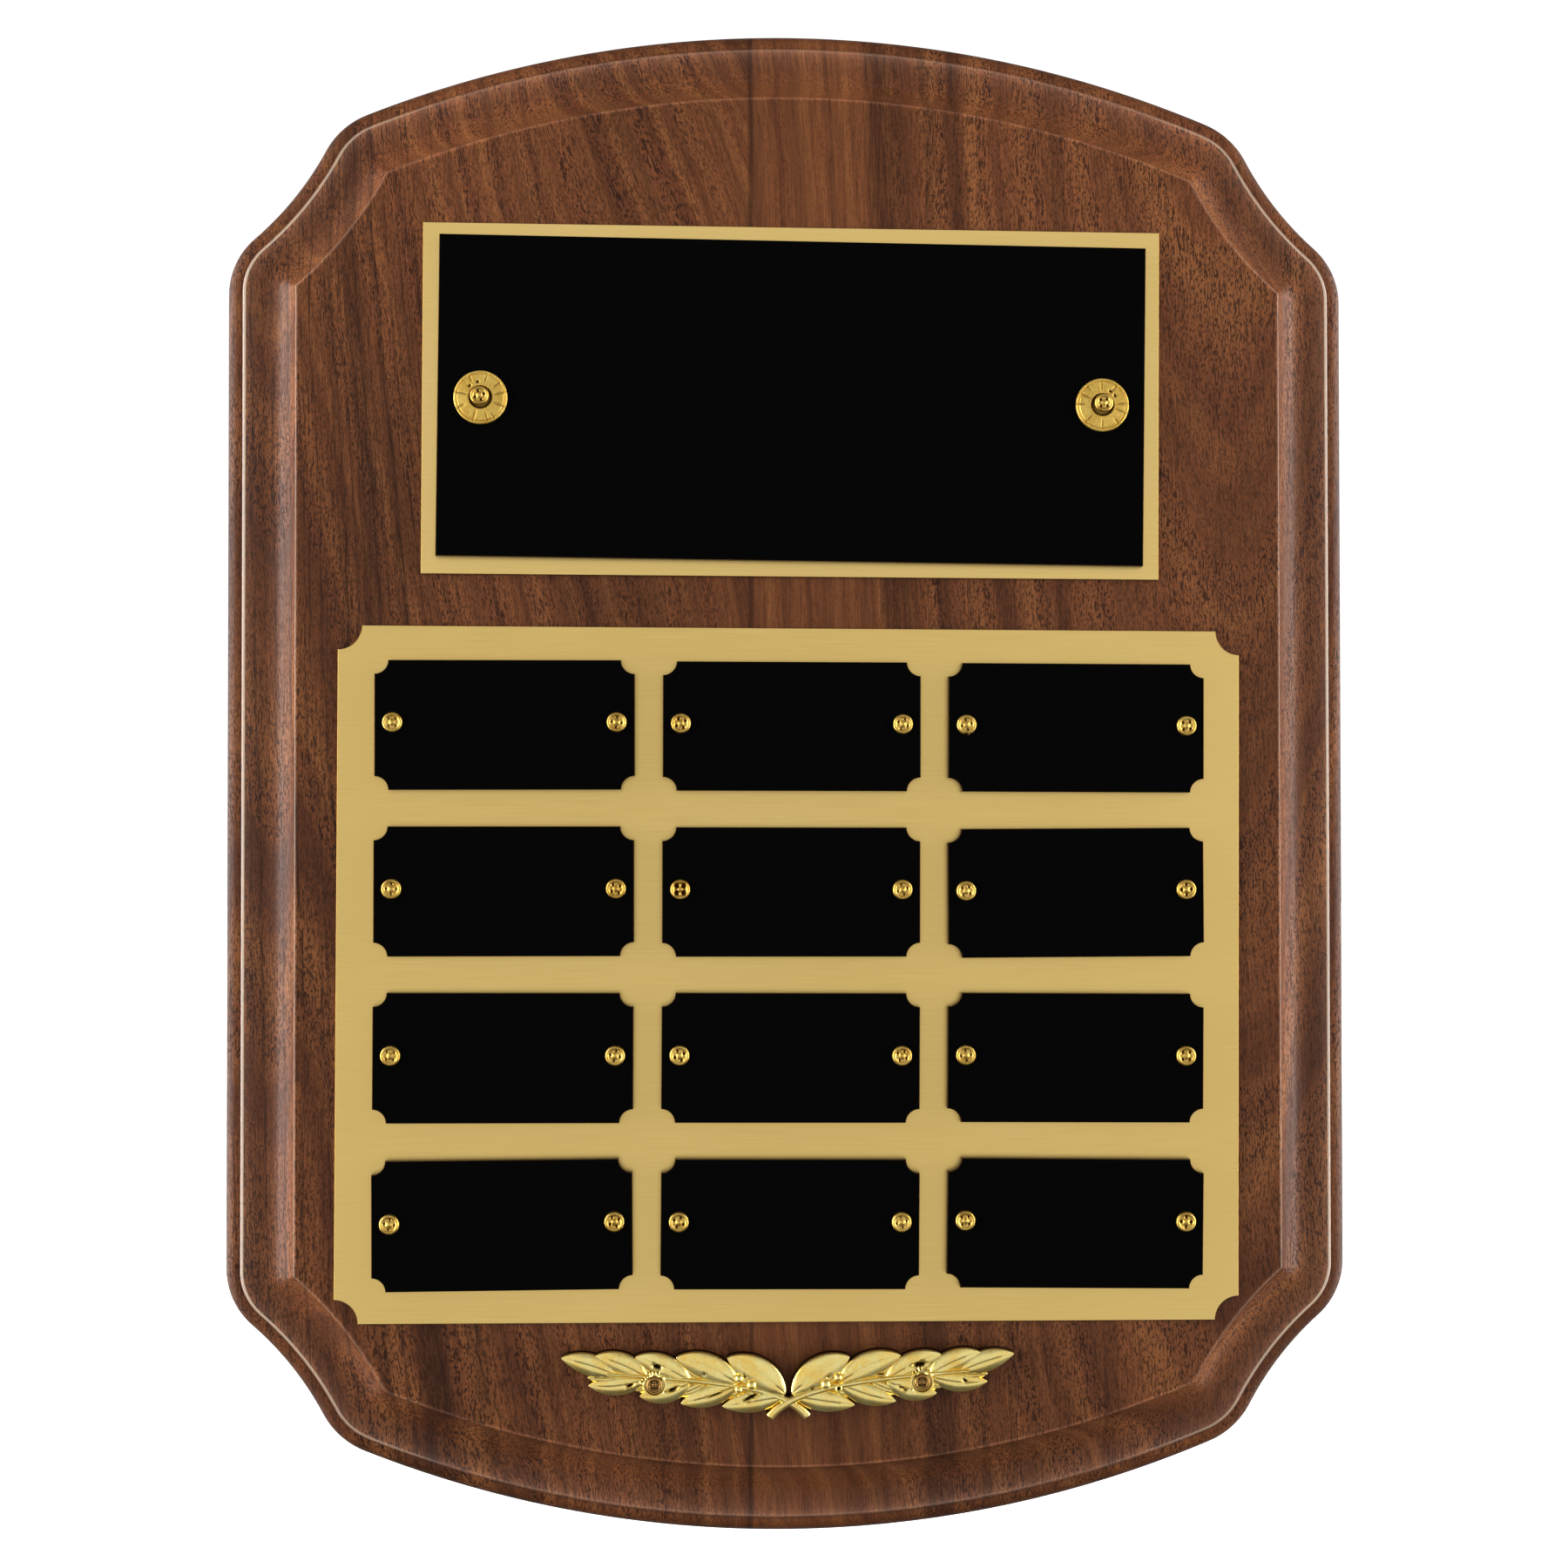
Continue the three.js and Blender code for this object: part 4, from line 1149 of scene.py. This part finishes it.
def add_stem(mesh, side, lift):
    a, b, c, d = stem_points

    def line(t):
        return a * (1 - t) ** 3 + b * 3 * t * (1 - t) ** 2 + c * 3 * t * t * (1 - t) + d * t ** 3

    def width(t):
        return 1.0 - 0.55 * t

    def height(t, across):
        return laurel_rim + lift + 0.9 * math.sqrt(max(0, 1 - (0.92 * across) ** 2))

    cast_form(mesh, side, line, width, height, 60)


bm = bmesh.new()
bm.verts.layers.float.new("tarnish_and_shade")
for side, stem_lift in ((1, 0.35), (-1, 0.1)):
    for leaf in laurel_leaves:
        add_leaf(bm, side, *leaf)
    add_stem(bm, side, stem_lift)
for vert in bm.verts:
    for x, z in seat_spots:
        if math.hypot(vert.co.x / MM - x, vert.co.z / MM - z) < seat_radius + 0.15:
            vert.co.y = max(vert.co.y, -(seat_floor - 0.1) * MM)
for side in (1, -1):
    for x, z, radius in laurel_berries:
        bmesh.ops.create_uvsphere(
            bm, u_segments=20, v_segments=14, radius=radius * MM,
            matrix=Matrix.Translation(Vector((side * x, -laurel_rim - 0.75, z)) * MM))
for x, z in seat_spots:
    boss = turned_solid([
        (0, 0), (2.5, 0), (2.9, laurel_rim + 0.2), (2.7, laurel_rim + 0.55),
        (seat_radius + 0.15, laurel_rim + 0.6), (seat_radius, laurel_rim + 0.4),
        (seat_radius - 0.1, seat_floor), (0, seat_floor)], 48)
    bmesh.ops.translate(boss, vec=Vector((x, 0, z)) * MM, verts=boss.verts)
    add_in(bm, boss)

# Casting flaws, browned partly as tarnish and partly as painted shade: pits in the lower
# leaves, a gap above each nail seat, the teeth of the seats' rims, and one berry with a blowhole.
tooth_radius = 2.95
teeth = []
for (seat_x, seat_z), first in zip(seat_spots, (40, 75)):
    for angle in range(first, first + 105, 15):
        x, z, *shape = round_about(tooth_radius, angle, 0.36, 0.22, 0.5)
        teeth.append((seat_x + x, seat_z + z, *shape))
press(bm, [
    (-36.7, 2.2, 1.1, 0.36, 20, 0.7), (-26.7, 1.3, 1.4, 0.36, 25, 0.8),
    (-8.7, -0.75, 2.3, 0.4, 25, 0.8), (-17, 0, 1.9, 0.2, 20, 0.35),
    (-30.4, 6.4, 1.2, 0.6, -15, 0.9), (30.4, 6.3, 1.7, 0.65, 8, 0.9),
    (21.3, 4.15, 1.1, 0.26, 0, 0.4), (41, 2.5, 0.8, 0.4, -35, 0.5),
    (26.6, 0.9, 1.5, 0.22, -35, 0.5), (-10.1, 3.9, 0.5, 0.35, -45, 0.7),
    (9.3, 3.8, 0.45, 0.35, 10, 0.6), (11.6, 1.1, 0.42, 0.42, 0, 1.1),
    (-19.5, 4.6, 0.5, 0.3, 20, 0.4), (5.4, 1.0, 0.5, 0.25, 30, 0.4),
    *teeth,
])

# Cast and gold plated: bright and softly uneven, from the casting's own skin under the
# plating, with a grain of about 0.5 mm. Its walls and hollows are a near-black brown, partly
# tarnish and partly painted shade.
cast_gold = gilded_brass("gold_plated_casting", "ffd66c", "fff0a0", "24140a", 0.0005, 0.3)
laurel_middle = (middle_of("laurel_pin_left") + middle_of("laurel_pin_right")) / 2
bmesh.ops.translate(
    bm, vec=(laurel_middle.x, board_low.y, laurel_middle.z - seat_spots[0][1] * MM), verts=bm.verts)
piece("laurel_casting", bm, [cast_gold], ["laurel_spray"], smooth_under=40)


# ------------------------------------------------------------------ laurel pins
# Two small drive pins sunk in the casting's seats. They were never polished after the
# casting was fixed, so their heads are brown and scored crosswise.

old_brass = gilded_brass("tarnished_pin_brass", "7d5a30", "b58f50", "452c18", 0.0004, 0.4)
scores = []
for offset in (-0.9, -0.45, 0, 0.45, 0.9):
    scores += [(0, offset, 1.4, 0.09, 0, 0.07), (offset, 0, 1.4, 0.09, 90, 0.07)]
for side in ("left", "right"):
    node = f"laurel_pin_{side}"
    pin = drive_pin(node, head_radius(node), 45, mark_size=0.2, mark_depth=0.05, nicks=scores)
    piece(f"seat_{node}", pin, [old_brass], [node], smooth_under=40)
